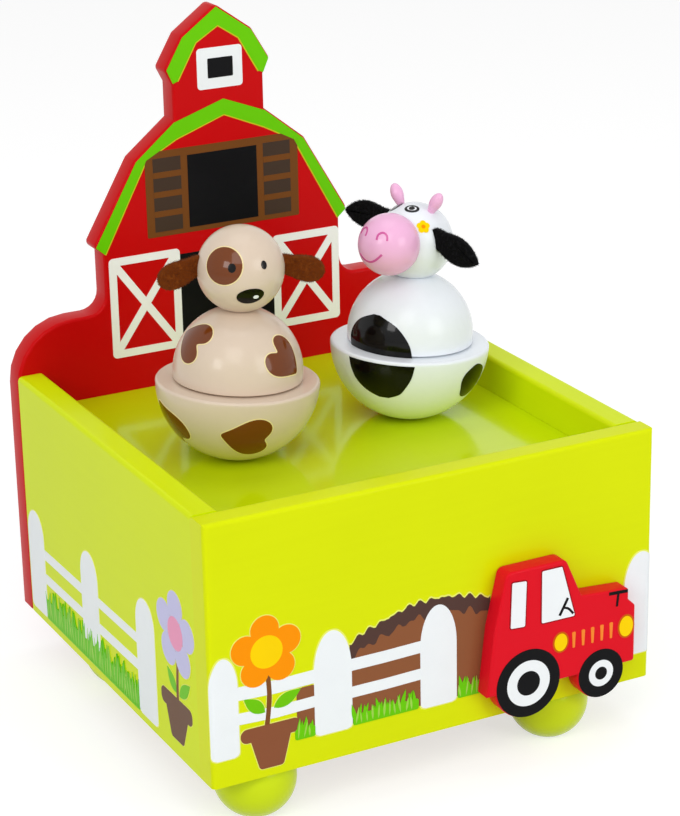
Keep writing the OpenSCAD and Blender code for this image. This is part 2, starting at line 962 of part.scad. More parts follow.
// Spur gear along Z with straight-sided teeth; the first tooth points along X when phase is 0
module spur(teeth, size, thick, phase, tooth_share, tip_share) {
    pitch_r = size * teeth / 2;
    root_r = pitch_r - dedendum * size;
    tip_r = pitch_r + addendum * size;
    tooth_w = PI * size * tooth_share;
    tip_w = PI * size * tip_share;
    sunk = root_r * 0.9;
    cylinder(r = root_r, h = thick);
    for (i = [0:teeth - 1])
        rotate([0, 0, phase + i * 360 / teeth])
            linear_extrude(thick)
                polygon([
                    [sunk, -tooth_w / 2],
                    [tip_r, -tip_w / 2],
                    [tip_r, tip_w / 2],
                    [sunk, tooth_w / 2]
                ]);
}

// Turns a piece built along Z so that it lies along X, its own X pointing down
module along_x(x, y) {
    translate([x, y, train_z])
        rotate([0, 90, 0])
            children();
}

module bedplate() {
    color("lightslategray")
        difference() {
            union() {
                translate([0, 0, panel_top])
                    linear_extrude(bed_t)
                        polygon(rounded([
                            [bed_left, bed_front, bed_margin],
                            [bed_right, bed_front, bed_margin],
                            [bed_right, bed_back, bed_margin],
                            [bed_left, bed_back, bed_margin]
                        ]));
                translate([comb_x, comb_end_y, panel_top])
                    cube([comb_w, comb_back, comb_z - panel_top]);
            }
            translate([0, 0, panel_top - cut])
                cylinder(r = arbor_r + run_gap, h = bed_t + 2 * cut);
            for (at = bed_screw_at)
                translate([at.x, at.y, panel_top - cut])
                    cylinder(r = bed_screw_r + press_gap, h = bed_t + 2 * cut);
            for (x = comb_screw_x)
                translate([x, comb_screw_y, comb_z - comb_screw_l])
                    cylinder(r = comb_screw_r + press_gap, h = comb_screw_l + cut);
        }
}

// Pan-head screw; its head stands on the point seat
module pan_screw(seat, r, head_r, length) {
    head_h = head_r * 0.6;
    translate(seat) {
        cylinder(r = head_r, h = head_h);
        translate([0, 0, -length])
            cylinder(r = r, h = length + head_h / 2);
    }
}

module bed_screws() {
    color("silver")
        for (at = bed_screw_at)
            pan_screw([at.x, at.y, bed_top], bed_screw_r, bed_screw_head_r, bed_screw_l + bed_t - end_gap);
}

module comb_screws() {
    color("silver")
        for (x = comb_screw_x)
            pan_screw([x, comb_screw_y, comb_z + comb_t], comb_screw_r, comb_screw_head_r,
                comb_screw_l + comb_t - end_gap);
}

module spring_housing() {
    color("goldenrod")
        difference() {
            translate([0, 0, bed_top])
                cylinder(r = housing_r, h = housing_h);
            translate([0, 0, bed_top - cut])
                cylinder(r = housing_r - housing_wall, h = housing_h - housing_wall + cut);
            translate([0, 0, bed_top])
                cylinder(r = arbor_r + run_gap, h = housing_h + cut);
        }
}

// Flat strip wound in a spiral, its outer end against the housing
module mainspring() {
    inner = arbor_r + 1;
    outer = housing_r - housing_wall - wood_gap - spring_t;
    steps = spring_turns * 24;
    spiral = [for (i = [0:steps]) [inner + (outer - inner) * i / steps, 360 * spring_turns * i / steps]];
    inside = [for (p = spiral) p[0] * [cos(p[1]), sin(p[1])]];
    outside = [for (i = [steps:-1:0]) (spiral[i][0] + spring_t) * [cos(spiral[i][1]), sin(spiral[i][1])]];
    color("steelblue")
        translate([0, 0, bed_top + wood_gap])
            linear_extrude(housing_h - housing_wall - 1)
                polygon(concat(inside, outside));
}

module winding_arbor() {
    color("silver")
        translate([0, 0, arbor_low])
            cylinder(r = arbor_r, h = arbor_top - arbor_low);
}

// Butterfly key with a hub that holds the end of the arbor
module winding_key() {
    color("gold")
        difference() {
            union() {
                translate([0, 0, key_hub_low])
                    cylinder(r = hub_r, h = key_hub_top - key_hub_low);
                for (side = [-1, 1])
                    translate([side * wing_reach, wing_t / 2, wing_z])
                        rotate([90, 0, 0])
                            cylinder(r = wing_r, h = wing_t);
                translate([-wing_reach, -wing_t / 2, wing_z - wing_r * 0.45])
                    cube([2 * wing_reach, wing_t, wing_r * 0.9]);
            }
            for (side = [-1, 1])
                translate([side * wing_reach, wing_t / 2 + cut, wing_z])
                    rotate([90, 0, 0])
                        cylinder(r = wing_hole_r, h = wing_t + 2 * cut);
            translate([0, 0, arbor_low - press_gap])
                cylinder(r = arbor_r + press_gap, h = base_z);
        }
}

// Wheel whose teeth stand up from its rim
module crown_wheel() {
    tooth_w = PI * crown_module * 0.32;
    tooth_h = crown_pitch_z + addendum * crown_module - crown_z;
    color("gold")
        difference() {
            union() {
                translate([0, 0, crown_z])
                    cylinder(r = crown_out_r, h = crown_t);
                translate([0, 0, crown_z])
                    cylinder(r = hub_r, h = crown_hub_h);
                for (i = [0:crown_teeth - 1])
                    rotate([0, 0, (i + 0.5) * 360 / crown_teeth])
                        translate([crown_out_r - crown_face, -tooth_w / 2, crown_z])
                            cube([crown_face - tooth_relief, tooth_w, tooth_h]);
            }
            translate([0, 0, crown_z - cut])
                cylinder(r = arbor_r + press_gap, h = crown_hub_h + 2 * cut);
        }
}

module magnet_arm() {
    color("burlywood")
        difference() {
            union() {
                for (spot = [dog_spot, cow_spot])
                    translate([spot.x, spot.y, arm_z])
                        cylinder(r = arm_end_r, h = arm_t);
                translate([dog_spot.x, dog_spot.y, arm_z])
                    rotate([0, 0, atan2(arm_way.y, arm_way.x)])
                        translate([0, -arm_w / 2, 0])
                            cube([norm(arm_way), arm_w, arm_t]);
                translate([0, 0, arm_z - arm_hub_h])
                    cylinder(r = hub_r, h = arm_hub_h + arm_t);
            }
            for (spot = [dog_spot, cow_spot])
                translate([spot.x, spot.y, arm_top - arm_magnet_h - glue_gap])
                    cylinder(r = arm_magnet_r + glue_gap, h = arm_magnet_h + cut);
            translate([0, 0, arm_z - arm_hub_h - cut])
                cylinder(r = arbor_r + press_gap, h = arbor_top - arm_z + arm_hub_h + cut + press_gap);
        }
}

module arm_magnets() {
    color("silver")
        for (spot = [dog_spot, cow_spot])
            translate([spot.x, spot.y, arm_top - arm_magnet_h])
                cylinder(r = arm_magnet_r, h = arm_magnet_h);
}

// Brass drum with the pins of the tune
module tune_cylinder() {
    golden_angle = 137.5;
    color("gold")
        along_x(drum_x, 0)
            difference() {
                union() {
                    cylinder(r = cylinder_r, h = drum_l);
                    for (note = [0:notes - 1])
                        for (beat = [0:pins_per_note - 1])
                            translate([0, 0, side_gap + (note + 0.5) * note_pitch])
                                rotate([0, 0, (note * pins_per_note + beat) * golden_angle])
                                    rotate([0, 90, 0])
                                        cylinder(r = pin_r, h = cylinder_r + pin_h, $fn = 16);
                }
                translate([0, 0, -cut])
                    cylinder(r = cylinder_arbor_r + press_gap, h = drum_l + 2 * cut);
            }
}

module cylinder_arbor() {
    start = crown_out_r - crown_face - side_gap;
    color("silver")
        along_x(start, 0)
            cylinder(r = cylinder_arbor_r, h = right_plate_x + plate_t + side_gap / 2 - start);
}

module cylinder_pinion() {
    color("gold")
        along_x(crown_out_r - crown_face, 0)
            difference() {
                spur(pinion_teeth, crown_module, crown_face - tooth_relief, 0, 0.5, 0.2);
                translate([0, 0, -cut])
                    cylinder(r = cylinder_arbor_r + press_gap, h = crown_face + 2 * cut);
            }
}

module great_wheel() {
    color("gold")
        along_x(great_x, 0)
            difference() {
                spur(great_teeth, train_module, great_t, 90, 0.5, 0.2);
                translate([0, 0, -cut])
                    cylinder(r = cylinder_arbor_r + press_gap, h = great_t + 2 * cut);
            }
}

// Upright plate across X with one bearing for each shaft
module bearing_plate(x, low_y, high_y, bores) {
    color("lightslategray")
        difference() {
            translate([x, low_y, bed_top])
                cube([plate_t, high_y - low_y, plate_top - bed_top]);
            for (bore = bores)
                along_x(x - cut, bore[0])
                    cylinder(r = bore[1] + run_gap, h = plate_t + 2 * cut);
        }
}

module left_bearing_plate() {
    bearing_plate(left_plate_x, -plate_half, plate_half, [[0, cylinder_arbor_r]]);
}

module right_bearing_plate() {
    bores = [[0, cylinder_arbor_r], [leaf_y, leaf_arbor_r]];
    bearing_plate(right_plate_x, -plate_half, leaf_y + plate_end, bores);
}

// Steel comb: a solid back, and tongues that reach to the pins
module comb() {
    color("lightsteelblue")
        difference() {
            translate([comb_x, comb_end_y, comb_z])
                cube([comb_w, comb_back + note_l, comb_t]);
            for (i = [1:notes - 1])
                translate([comb_x + i * note_pitch - note_slot / 2, comb_root_y, comb_z - cut])
                    cube([note_slot, note_l + cut, comb_t + 2 * cut]);
            for (x = comb_screw_x)
                translate([x, comb_screw_y, comb_z - cut])
                    cylinder(r = comb_screw_r + press_gap, h = comb_t + 2 * cut);
        }
}

// End plate of the governor with the two shelves that hold the worm
module governor_bracket() {
    shelf_x = worm_x - tab_half;
    color("lightslategray")
        difference() {
            union() {
                translate([end_plate_x, leaf_y - plate_half, bed_top])
                    cube([plate_t, worm_y + tab_half - leaf_y + plate_half, tab_over + plate_t - bed_top]);
                for (z = [tab_under - plate_t, tab_over])
                    translate([shelf_x, worm_y - tab_half, z])
                        cube([end_plate_x + plate_t - shelf_x, 2 * tab_half, plate_t]);
            }
            along_x(end_plate_x - cut, leaf_y)
                cylinder(r = leaf_arbor_r + run_gap, h = plate_t + 2 * cut);
            translate([worm_x, worm_y, tab_under - plate_t - cut])
                cylinder(r = worm_arbor_r + run_gap, h = tab_over - tab_under + 2 * plate_t + 2 * cut);
        }
}

// Wheel, pinion and arbor of the governor in one piece
module governor_wheel() {
    color("ivory") {
        along_x(great_x, leaf_y)
            spur(leaf_teeth, train_module, great_t, 90 + 180 / leaf_teeth, 0.5, 0.2);
        along_x(worm_wheel_x, leaf_y)
            spur(worm_wheel_teeth, worm_module, worm_wheel_t, 90, 0.42, 0.2);
        along_x(great_x, leaf_y)
            cylinder(r = leaf_arbor_r, h = end_plate_x + plate_t - great_x);
    }
}

// Section of the worm across its axis: one lobe for each thread
function worm_section() = [
    for (start = [0:worm_starts - 1])
        each [
            for (p = [[-46, worm_root_r], [-18, worm_tip_r], [18, worm_tip_r], [46, worm_root_r],
                      [90, worm_root_r]])
                let (angle = p[0] + start * 360 / worm_starts)
                p[1] * [cos(angle), sin(angle)]
        ]
];

// Closed skin through rings of the section, each turned on along the lead
module worm_thread() {
    section = worm_section();
    n = len(section);
    rings = round(worm_l / worm_lead * worm_rings_per_turn);
    skin = [
        for (i = [0:rings])
            let (
                z = worm_l * (i / rings - 0.5),
                turn = 360 * z / worm_lead
            )
            each [for (p = section) [p.x * cos(turn) - p.y * sin(turn), p.x * sin(turn) + p.y * cos(turn), z]]
    ];
    ends = [[0, 0, -worm_l / 2], [0, 0, worm_l / 2]];
    low_end = len(skin);
    sides = [
        for (i = [0:rings - 1])
            for (j = [0:n - 1])
                let (
                    a = i * n + j,
                    b = i * n + (j + 1) % n
                )
                each [[a, a + n, b + n], [a, b + n, b]]
    ];
    caps = [
        for (j = [0:n - 1])
            let (k = (j + 1) % n)
            each [[low_end, j, k], [low_end + 1, rings * n + k, rings * n + j]]
    ];
    polyhedron(concat(skin, ends), concat(sides, caps));
}

module governor_worm() {
    color("ivory")
        translate([worm_x, worm_y, 0]) {
            translate([0, 0, train_z])
                worm_thread();
            translate([0, 0, tab_under - plate_t])
                cylinder(r = worm_arbor_r, h = tab_over - tab_under + 2 * plate_t + side_gap + fan_h);
        }
}

module governor_fan() {
    fan_t = 0.8;
    color("white")
        translate([worm_x, worm_y, tab_over + plate_t + side_gap])
            difference() {
                union() {
                    translate([-fan_w / 2, -fan_t / 2, 0])
                        cube([fan_w, fan_t, fan_h]);
                    cylinder(r = worm_arbor_r + fan_t, h = fan_h);
                }
                translate([0, 0, -cut])
                    cylinder(r = worm_arbor_r + press_gap, h = fan_h + 2 * cut);
            }
}

front_wall();
left_wall();
right_wall();
barn_board();
stage_deck();
bottom_panel();
foot_front_left();
foot_front_right();
foot_rear_left();
foot_rear_right();
tractor();
dog_base();
dog_magnet();
dog_body();
dog_dowel();
dog_head();
dog_left_ear();
dog_right_ear();
cow_base();
cow_magnet();
cow_body();
cow_dowel();
cow_head();
cow_muzzle();
cow_left_ear();
cow_right_ear();
cow_left_horn();
cow_right_horn();
bedplate();
bed_screws();
spring_housing();
mainspring();
winding_arbor();
winding_key();
crown_wheel();
magnet_arm();
arm_magnets();
tune_cylinder();
cylinder_arbor();
cylinder_pinion();
great_wheel();
left_bearing_plate();
right_bearing_plate();
comb();
comb_screws();
governor_bracket();
governor_wheel();
governor_worm();
governor_fan();
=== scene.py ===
"""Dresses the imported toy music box: painted boards, prints, turned figures, felt ears and clockwork.

Sizes are in millimetres in the part's frame: X to the viewer's right, Y to the back, Z up from the table.
"""

import json
import logging
import math
from collections.abc import Callable, Iterable, Iterator, Sequence
from contextlib import contextmanager
from dataclasses import dataclass, field
from enum import Enum

import bmesh
import bpy
from mathutils import Matrix, Vector

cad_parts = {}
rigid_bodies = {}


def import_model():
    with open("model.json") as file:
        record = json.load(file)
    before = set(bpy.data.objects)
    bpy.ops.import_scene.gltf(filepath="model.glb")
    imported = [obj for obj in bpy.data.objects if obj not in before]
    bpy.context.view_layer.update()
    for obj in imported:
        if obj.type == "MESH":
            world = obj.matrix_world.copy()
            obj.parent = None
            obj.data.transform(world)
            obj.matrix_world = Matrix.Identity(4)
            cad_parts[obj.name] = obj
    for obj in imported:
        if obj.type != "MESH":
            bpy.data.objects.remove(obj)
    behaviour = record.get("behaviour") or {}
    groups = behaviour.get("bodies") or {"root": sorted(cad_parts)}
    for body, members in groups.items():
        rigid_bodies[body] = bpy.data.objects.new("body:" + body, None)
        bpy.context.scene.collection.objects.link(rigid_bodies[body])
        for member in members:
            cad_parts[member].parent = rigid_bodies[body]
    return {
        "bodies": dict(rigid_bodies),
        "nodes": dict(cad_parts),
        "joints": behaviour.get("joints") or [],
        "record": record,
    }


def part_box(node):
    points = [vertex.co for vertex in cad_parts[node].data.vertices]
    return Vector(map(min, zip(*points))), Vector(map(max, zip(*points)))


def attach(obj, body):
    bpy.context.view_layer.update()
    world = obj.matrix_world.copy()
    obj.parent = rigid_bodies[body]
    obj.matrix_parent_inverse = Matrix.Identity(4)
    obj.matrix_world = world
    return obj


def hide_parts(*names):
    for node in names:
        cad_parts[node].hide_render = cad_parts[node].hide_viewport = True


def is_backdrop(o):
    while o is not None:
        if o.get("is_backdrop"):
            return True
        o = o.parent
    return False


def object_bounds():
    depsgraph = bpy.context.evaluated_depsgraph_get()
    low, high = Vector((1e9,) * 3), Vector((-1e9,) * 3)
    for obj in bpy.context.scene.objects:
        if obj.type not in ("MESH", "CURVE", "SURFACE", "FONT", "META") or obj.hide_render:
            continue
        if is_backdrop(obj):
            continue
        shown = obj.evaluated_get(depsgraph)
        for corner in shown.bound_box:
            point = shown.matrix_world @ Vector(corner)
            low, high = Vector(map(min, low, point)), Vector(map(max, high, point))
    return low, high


LOG = logging.getLogger("music_box")
MM = 0.001  # metres in a millimetre
CRISP = 40.0  # the angle in degrees over which an edge stays crisp
FLOOR_OF_BOX = 14.0  # how high the box's lower edge lies
HALF_WIDTH = 60.0  # half the box's width
BARN_FRONT = 56.0  # where the barn's front face lies
ON_EDGE = Matrix(((1, 0, 0, 0), (0, 0, -1, 0), (0, 1, 0, 0), (0, 0, 0, 1)))  # stands up what lies flat

Colour = tuple[float, float, float]
Point = tuple[float, float]
Corner = tuple[float, float, float]  # a point with its radius, or another three numbers
Box = tuple[float, float, float, float]  # left, low, right and high
Path = tuple[Point, ...]
Line = tuple[Path, float, float]  # points, width and lift


def srgb(red: int, green: int, blue: int) -> Colour:
    """The linear colour that shaders take, from display values between 0 and 255."""
    parts = (value / 255 for value in (red, green, blue))
    return tuple(p / 12.92 if p <= 0.04045 else ((p + 0.055) / 1.055) ** 2.4 for p in parts)


def direction(azimuth: float, elevation: float) -> Vector:
    """The way that lies so many degrees round from the front and so many degrees up."""
    around, up = math.radians(azimuth), math.radians(elevation)
    return Vector((math.sin(around) * math.cos(up), -math.cos(around) * math.cos(up), math.sin(up)))


def tilted(degrees: float, axis: str) -> Matrix:
    """A turn about X, Y or Z."""
    return Matrix.Rotation(math.radians(degrees), 4, axis)


@contextmanager
def worked(mesh: bpy.types.Mesh) -> Iterator[bmesh.types.BMesh]:
    """Open a mesh for editing, and write it back.

    Args:
        mesh: the mesh to change.

    Yields:
        Its editable form.
    """
    work = bmesh.new()
    work.from_mesh(mesh)
    yield work
    work.to_mesh(mesh)
    work.free()


def in_scene(name: str, data: bpy.types.ID) -> bpy.types.Object:
    """Add an object to the scene.

    Args:
        name: the object's name.
        data: its mesh, lens or lamp.

    Returns:
        The object.
    """
    made = bpy.data.objects.new(name, data)
    bpy.context.scene.collection.objects.link(made)
    return made


def applied(mesh: bpy.types.Mesh, kind: str, set_up: Callable[[bpy.types.Modifier], None]) -> bpy.types.Mesh:
    """Put a mesh through a modifier.

    Args:
        mesh: what goes in.
        kind: the modifier's type.
        set_up: gives the modifier its settings.

    Returns:
        A new plain mesh.
    """
    carrier = in_scene("carrier", mesh)
    set_up(carrier.modifiers.new("change", kind))
    graph = bpy.context.evaluated_depsgraph_get()
    made = bpy.data.meshes.new_from_object(carrier.evaluated_get(graph), depsgraph=graph)
    carrier.modifiers.clear()
    bpy.data.objects.remove(carrier)
    return made


# Nodes: arithmetic on sockets, shaders and repeating trees


class Val:
    """One number socket of a node tree, on which arithmetic adds Math nodes."""

    def __init__(self, tree: "Nodes", socket: bpy.types.NodeSocket) -> None:
        """Wrap a socket of a tree."""
        self.tree, self.socket = tree, socket

    def step(self, operation: str, *values: "Val | float") -> "Val":
        """The result of a new Math node on those inputs."""
        made = self.tree.node("ShaderNodeMath", {"operation": operation}, dict(enumerate(values)))
        return Val(self.tree, made.outputs[0])

    def __add__(self, other: "Val | float") -> "Val":
        """This value plus another."""
        return self.step("ADD", self, other)

    def __sub__(self, other: "Val | float") -> "Val":
        """This value less another."""
        return self.step("SUBTRACT", self, other)

    def __rsub__(self, other: float) -> "Val":
        """A number less this value."""
        return self.step("SUBTRACT", other, self)

    def __mul__(self, other: "Val | float") -> "Val":
        """This value times another."""
        return self.step("MULTIPLY", self, other)

    def __truediv__(self, other: "Val | float") -> "Val":
        """This value divided by another."""
        return self.step("DIVIDE", self, other)

    def __rtruediv__(self, other: float) -> "Val":
        """A number divided by this value."""
        return self.step("DIVIDE", other, self)

    __radd__, __rmul__ = __add__, __mul__

    def larger(self, other: "Val | float") -> "Val":
        """The larger of two values."""
        return self.step("MAXIMUM", self, other)

    def between(self, low: float, high: float) -> "Val":
        """A smooth step from 0 at low to 1 at high."""
        made = self.tree.node("ShaderNodeMapRange", {"interpolation_type": "SMOOTHSTEP"},
                              {"Value": self, "From Min": low, "From Max": high})
        return Val(self.tree, made.outputs[0])


class Nodes:
    """A node tree with one way of adding any node to it."""

    def __init__(self, tree: bpy.types.NodeTree) -> None:
        """Work on a tree."""
        self.tree = tree

    def node(self, kind: str, settings: dict[str, object] | None = None,
             inputs: dict[str | int, object] | None = None) -> bpy.types.Node:
        """Add a node.

        Args:
            kind: the node's type.
            settings: its own settings, which are set first.
            inputs: values or links by socket name or number.

        Returns:
            The new node.
        """
        made = self.tree.nodes.new(kind)
        for name, value in (settings or {}).items():
            setattr(made, name, value)
        for key, value in (inputs or {}).items():
            self.feed(made.inputs[key], value)
        return made

    def feed(self, socket: bpy.types.NodeSocket, value: object) -> None:
        """Link a socket, or set its value.

        Args:
            socket: the socket to fill.
            value: a wrapped value, another socket, a number or a colour.
        """
        if isinstance(value, Val):
            self.tree.links.new(value.socket, socket)
        elif isinstance(value, bpy.types.NodeSocket):
            self.tree.links.new(value, socket)
        elif socket.type == "RGBA" and len(value) == 3:
            socket.default_value = (*value, 1.0)
        else:
            socket.default_value = value


class Shader(Nodes):
    """The nodes of one finish, on Object coordinates counted in millimetres."""

    def __init__(self, name: str) -> None:
        """Start a material of that name.

        Args:
            name: the material's name.
        """
        self.material = bpy.data.materials.new(name)
        self.material.use_nodes = True
        super().__init__(self.material.node_tree)
        self.tree.nodes.clear()
        self.surface = self.node("ShaderNodeBsdfPrincipled")
        self.node("ShaderNodeOutputMaterial", None, {"Surface": self.surface.outputs[0]})
        where = self.node("ShaderNodeTexCoord").outputs["Object"]
        self.spot = self.node("ShaderNodeVectorMath", {"operation": "SCALE"},
                              {0: where, "Scale": 1 / MM}).outputs[0]

    def stretched(self, stretch: Corner) -> bpy.types.NodeSocket:
        """The coordinates, squeezed along each axis."""
        made = self.node("ShaderNodeVectorMath", {"operation": "MULTIPLY"}, {0: self.spot, 1: stretch})
        return made.outputs[0]

    def noise(self, scale: float, detail: float = 2.0, stretch: Corner = (1.0, 1.0, 1.0)) -> Val:
        """Add soft noise.

        Args:
            scale: waves in a millimetre.
            detail: how many finer layers are added.
            stretch: how much the pattern is squeezed along each axis.

        Returns:
            The noise, about 0.5 in the middle.
        """
        made = self.node("ShaderNodeTexNoise", None,
                         {"Vector": self.stretched(stretch), "Scale": scale, "Detail": detail})
        return Val(self, made.outputs[0])

    def cells(self, scale: float, stretch: Corner = (1.0, 1.0, 1.0)) -> Val:
        """The distance to the nearest of many scattered points."""
        made = self.node("ShaderNodeTexVoronoi", None, {"Vector": self.stretched(stretch), "Scale": scale})
        return Val(self, made.outputs["Distance"])

    def mixed(self, share: Val | float, one: object, other: object,
              blend: str = "MIX") -> bpy.types.NodeSocket:
        """Two colours mixed, or blended in another way."""
        settings = {"data_type": "RGBA", "blend_type": blend}
        return self.node("ShaderNodeMix", settings, {0: share, 6: one, 7: other}).outputs[2]

    def shaded(self, colour: object, shade: Val) -> bpy.types.NodeSocket:
        """A colour made lighter or darker by a value."""
        return self.mixed(1.0, colour, shade, "MULTIPLY")

    def lay(self, values: dict[str, object]) -> None:
        """Set or link the surface's own sockets."""
        for name, value in values.items():
            self.feed(self.surface.inputs[name], value)

    def bump(self, height: Val, depth: float) -> None:
        """Press a pattern into the surface, to a depth in millimetres."""
        made = self.node("ShaderNodeBump", None, {"Strength": 1.0, "Distance": depth * MM, "Height": height})
        self.feed(self.surface.inputs["Normal"], made.outputs[0])


class Repeat(Nodes):
    """A Geometry Nodes tree that repeats its blank, with named inputs for its sizes."""

    def __init__(self, name: str) -> None:
        """Start a tree that takes and gives geometry.

        Args:
            name: the tree's name.
        """
        super().__init__(bpy.data.node_groups.new(name, "GeometryNodeTree"))
        self.tree.interface.new_socket("Geometry", in_out="INPUT", socket_type="NodeSocketGeometry")
        self.tree.interface.new_socket("Finish", in_out="INPUT", socket_type="NodeSocketMaterial")
        self.tree.interface.new_socket("Geometry", in_out="OUTPUT", socket_type="NodeSocketGeometry")
        self.inlet = self.node("NodeGroupInput")
        self.outlet = self.node("NodeGroupOutput")

    def size(self, name: str, kind: str) -> Val:
        """A new named input, of kind Float, Int or Vector."""
        self.tree.interface.new_socket(name, in_out="INPUT", socket_type="NodeSocket" + kind)
        return Val(self, self.inlet.outputs[name])

    def chance(self, low: object, high: object, seed: Val) -> bpy.types.NodeSocket:
        """A random vector for each point, between two others."""
        return self.node("FunctionNodeRandomValue", {"data_type": "FLOAT_VECTOR"},
                         {0: low, 1: high, "Seed": seed}).outputs[0]

    def line(self, count: Val, step: Val) -> bpy.types.NodeSocket:
        """Points in a line, an even step apart."""
        made = self.node("GeometryNodeMeshLine", {"mode": "OFFSET"}, {"Count": count, "Offset": step})
        return made.outputs[0]

    def copies(self, points: bpy.types.NodeSocket, inputs: dict[str, object]) -> bpy.types.NodeSocket:
        """The blank on each point, unless the inputs name another instance."""
        inputs = {"Points": points, "Instance": self.inlet.outputs["Geometry"], **inputs}
        return self.node("GeometryNodeInstanceOnPoints", None, inputs).outputs[0]

    def vector(self, x: object, y: object, z: object) -> bpy.types.NodeSocket:
        """A vector from three values."""
        return self.node("ShaderNodeCombineXYZ", None, {0: x, 1: y, 2: z}).outputs[0]

    def close(self, geometry: bpy.types.NodeSocket) -> None:
        """End the tree: make instances real and give them their finish.

        Args:
            geometry: what the tree has made.
        """
        real = self.node("GeometryNodeRealizeInstances", None, {0: geometry}).outputs[0]
        dressed = self.node("GeometryNodeSetMaterial", None,
                            {"Geometry": real, "Material": self.inlet.outputs["Finish"]})
        self.feed(self.outlet.inputs[0], dressed.outputs[0])

    def run(self, blank: bpy.types.Mesh, finish: "Finish", sizes: dict[str, object]) -> bpy.types.Mesh:
        """Repeat a blank.

        Args:
            blank: the mesh that the tree takes.
            finish: what the result is painted with.
            sizes: the named inputs' values.

        Returns:
            A plain mesh.
        """
        sizes = {"Finish": finish.material(), **sizes}

        def set_up(modifier: bpy.types.NodesModifier) -> None:
            """Give the tree its inputs.

            Args:
                modifier: what runs the tree.
            """
            modifier.node_group = self.tree
            for item in self.tree.interface.items_tree:
                if item.item_type == "SOCKET" and item.in_out == "INPUT" and item.name in sizes:
                    modifier[item.identifier] = sizes[item.name]

        return applied(blank, "NODES", set_up)


class Row(Repeat):
    """Sets copies of a blank at an even pitch."""

    def __init__(self) -> None:
        """Build the tree."""
        super().__init__("row_of_blanks")
        count, pitch = self.size("Count", "Int"), self.size("Pitch", "Vector")
        self.close(self.copies(self.line(count, pitch), {}))


class Whorl(Repeat):
    """Sets copies of a blank round a middle, as petals stand."""

    def __init__(self) -> None:
        """Build the tree."""
        super().__init__("whorl_of_blanks")
        count, start = self.size("Count", "Int"), self.size("Start", "Float")
        rise = self.size("Rise", "Vector")
        number = Val(self, self.node("GeometryNodeInputIndex").outputs[0])
        angle = start + number * (2 * math.pi) / count
        self.close(self.copies(self.line(count, rise), {"Rotation": self.vector(0.0, 0.0, angle)}))


class Tuft(Repeat):
    """Sets blades along a line, each with its own lean and length."""

    def __init__(self) -> None:
        """Build the tree."""
        super().__init__("tuft_of_blades")
        count, pitch = self.size("Count", "Int"), self.size("Pitch", "Vector")
        lean, short = self.size("Lean", "Float"), self.size("Shortest", "Float")
        seed = self.size("Seed", "Int")
        turn = self.chance(self.vector(0.0, 0.0, 0.0 - lean), self.vector(0.0, 0.0, lean), seed)
        grow = self.chance(self.vector(0.8, short, 1.0), (1.25, 1.0, 1.0), seed + 7)
        self.close(self.copies(self.line(count, pitch), {"Rotation": turn, "Scale": grow}))


class Nap(Repeat):
    """Covers a blank with short fibres."""

    def __init__(self) -> None:
        """Build the tree."""
        super().__init__("nap_of_fibres")
        density, length = self.size("Density", "Float"), self.size("Length", "Float")
        width, lean = self.size("Width", "Float"), self.size("Lean", "Float")
        seed = self.size("Seed", "Int")
        felt = self.inlet.outputs["Geometry"]
        strewn = self.node("GeometryNodeDistributePointsOnFaces", None,
                           {"Mesh": felt, "Density": density, "Seed": seed})
        fibre = self.node("GeometryNodeMeshCone", None,
                          {"Vertices": 3, "Side Segments": 1, "Fill Segments": 1, "Radius Top": 0.0,
                           "Radius Bottom": width, "Depth": length})
        placed = self.copies(strewn.outputs["Points"],
                             {"Instance": fibre.outputs["Mesh"], "Rotation": strewn.outputs["Rotation"]})
        back = 0.0 - lean
        tilt = self.chance(self.vector(back, back, back), self.vector(lean, lean, lean), seed + 3)
        leaning = self.node("GeometryNodeRotateInstances", None, {"Instances": placed, "Rotation": tilt})
        joined = self.node("GeometryNodeJoinGeometry")
        self.tree.links.new(felt, joined.inputs[0])
        self.tree.links.new(leaning.outputs[0], joined.inputs[0])
        self.close(joined.outputs[0])


# Finishes


class Grain(Enum):
    """Which way the fibres of a piece run."""

    ALONG_X = (0.06, 1.0, 1.0)
    ALONG_Y = (1.0, 0.06, 1.0)
    UPRIGHT = (1.0, 1.0, 0.06)
    TURNED = (1.0, 1.0, 1.0)


@dataclass(frozen=True)
class Finish:
    """A surface's colour and how it is made.

    Attributes:
        name: the finish's name.
        tint: its main colour.
    """

    name: str
    tint: Colour

    def material(self) -> bpy.types.Material:
        """The material, made when it is first asked for.

        Returns:
            The material.
        """
        known = bpy.data.materials.get(self.name)
        if known:
            return known
        shader = Shader(self.name)
        self.dress(shader)
        return shader.material

    def dress(self, shader: Shader) -> None:
        """Build the finish's nodes; each kind of finish has its own."""
        raise NotImplementedError


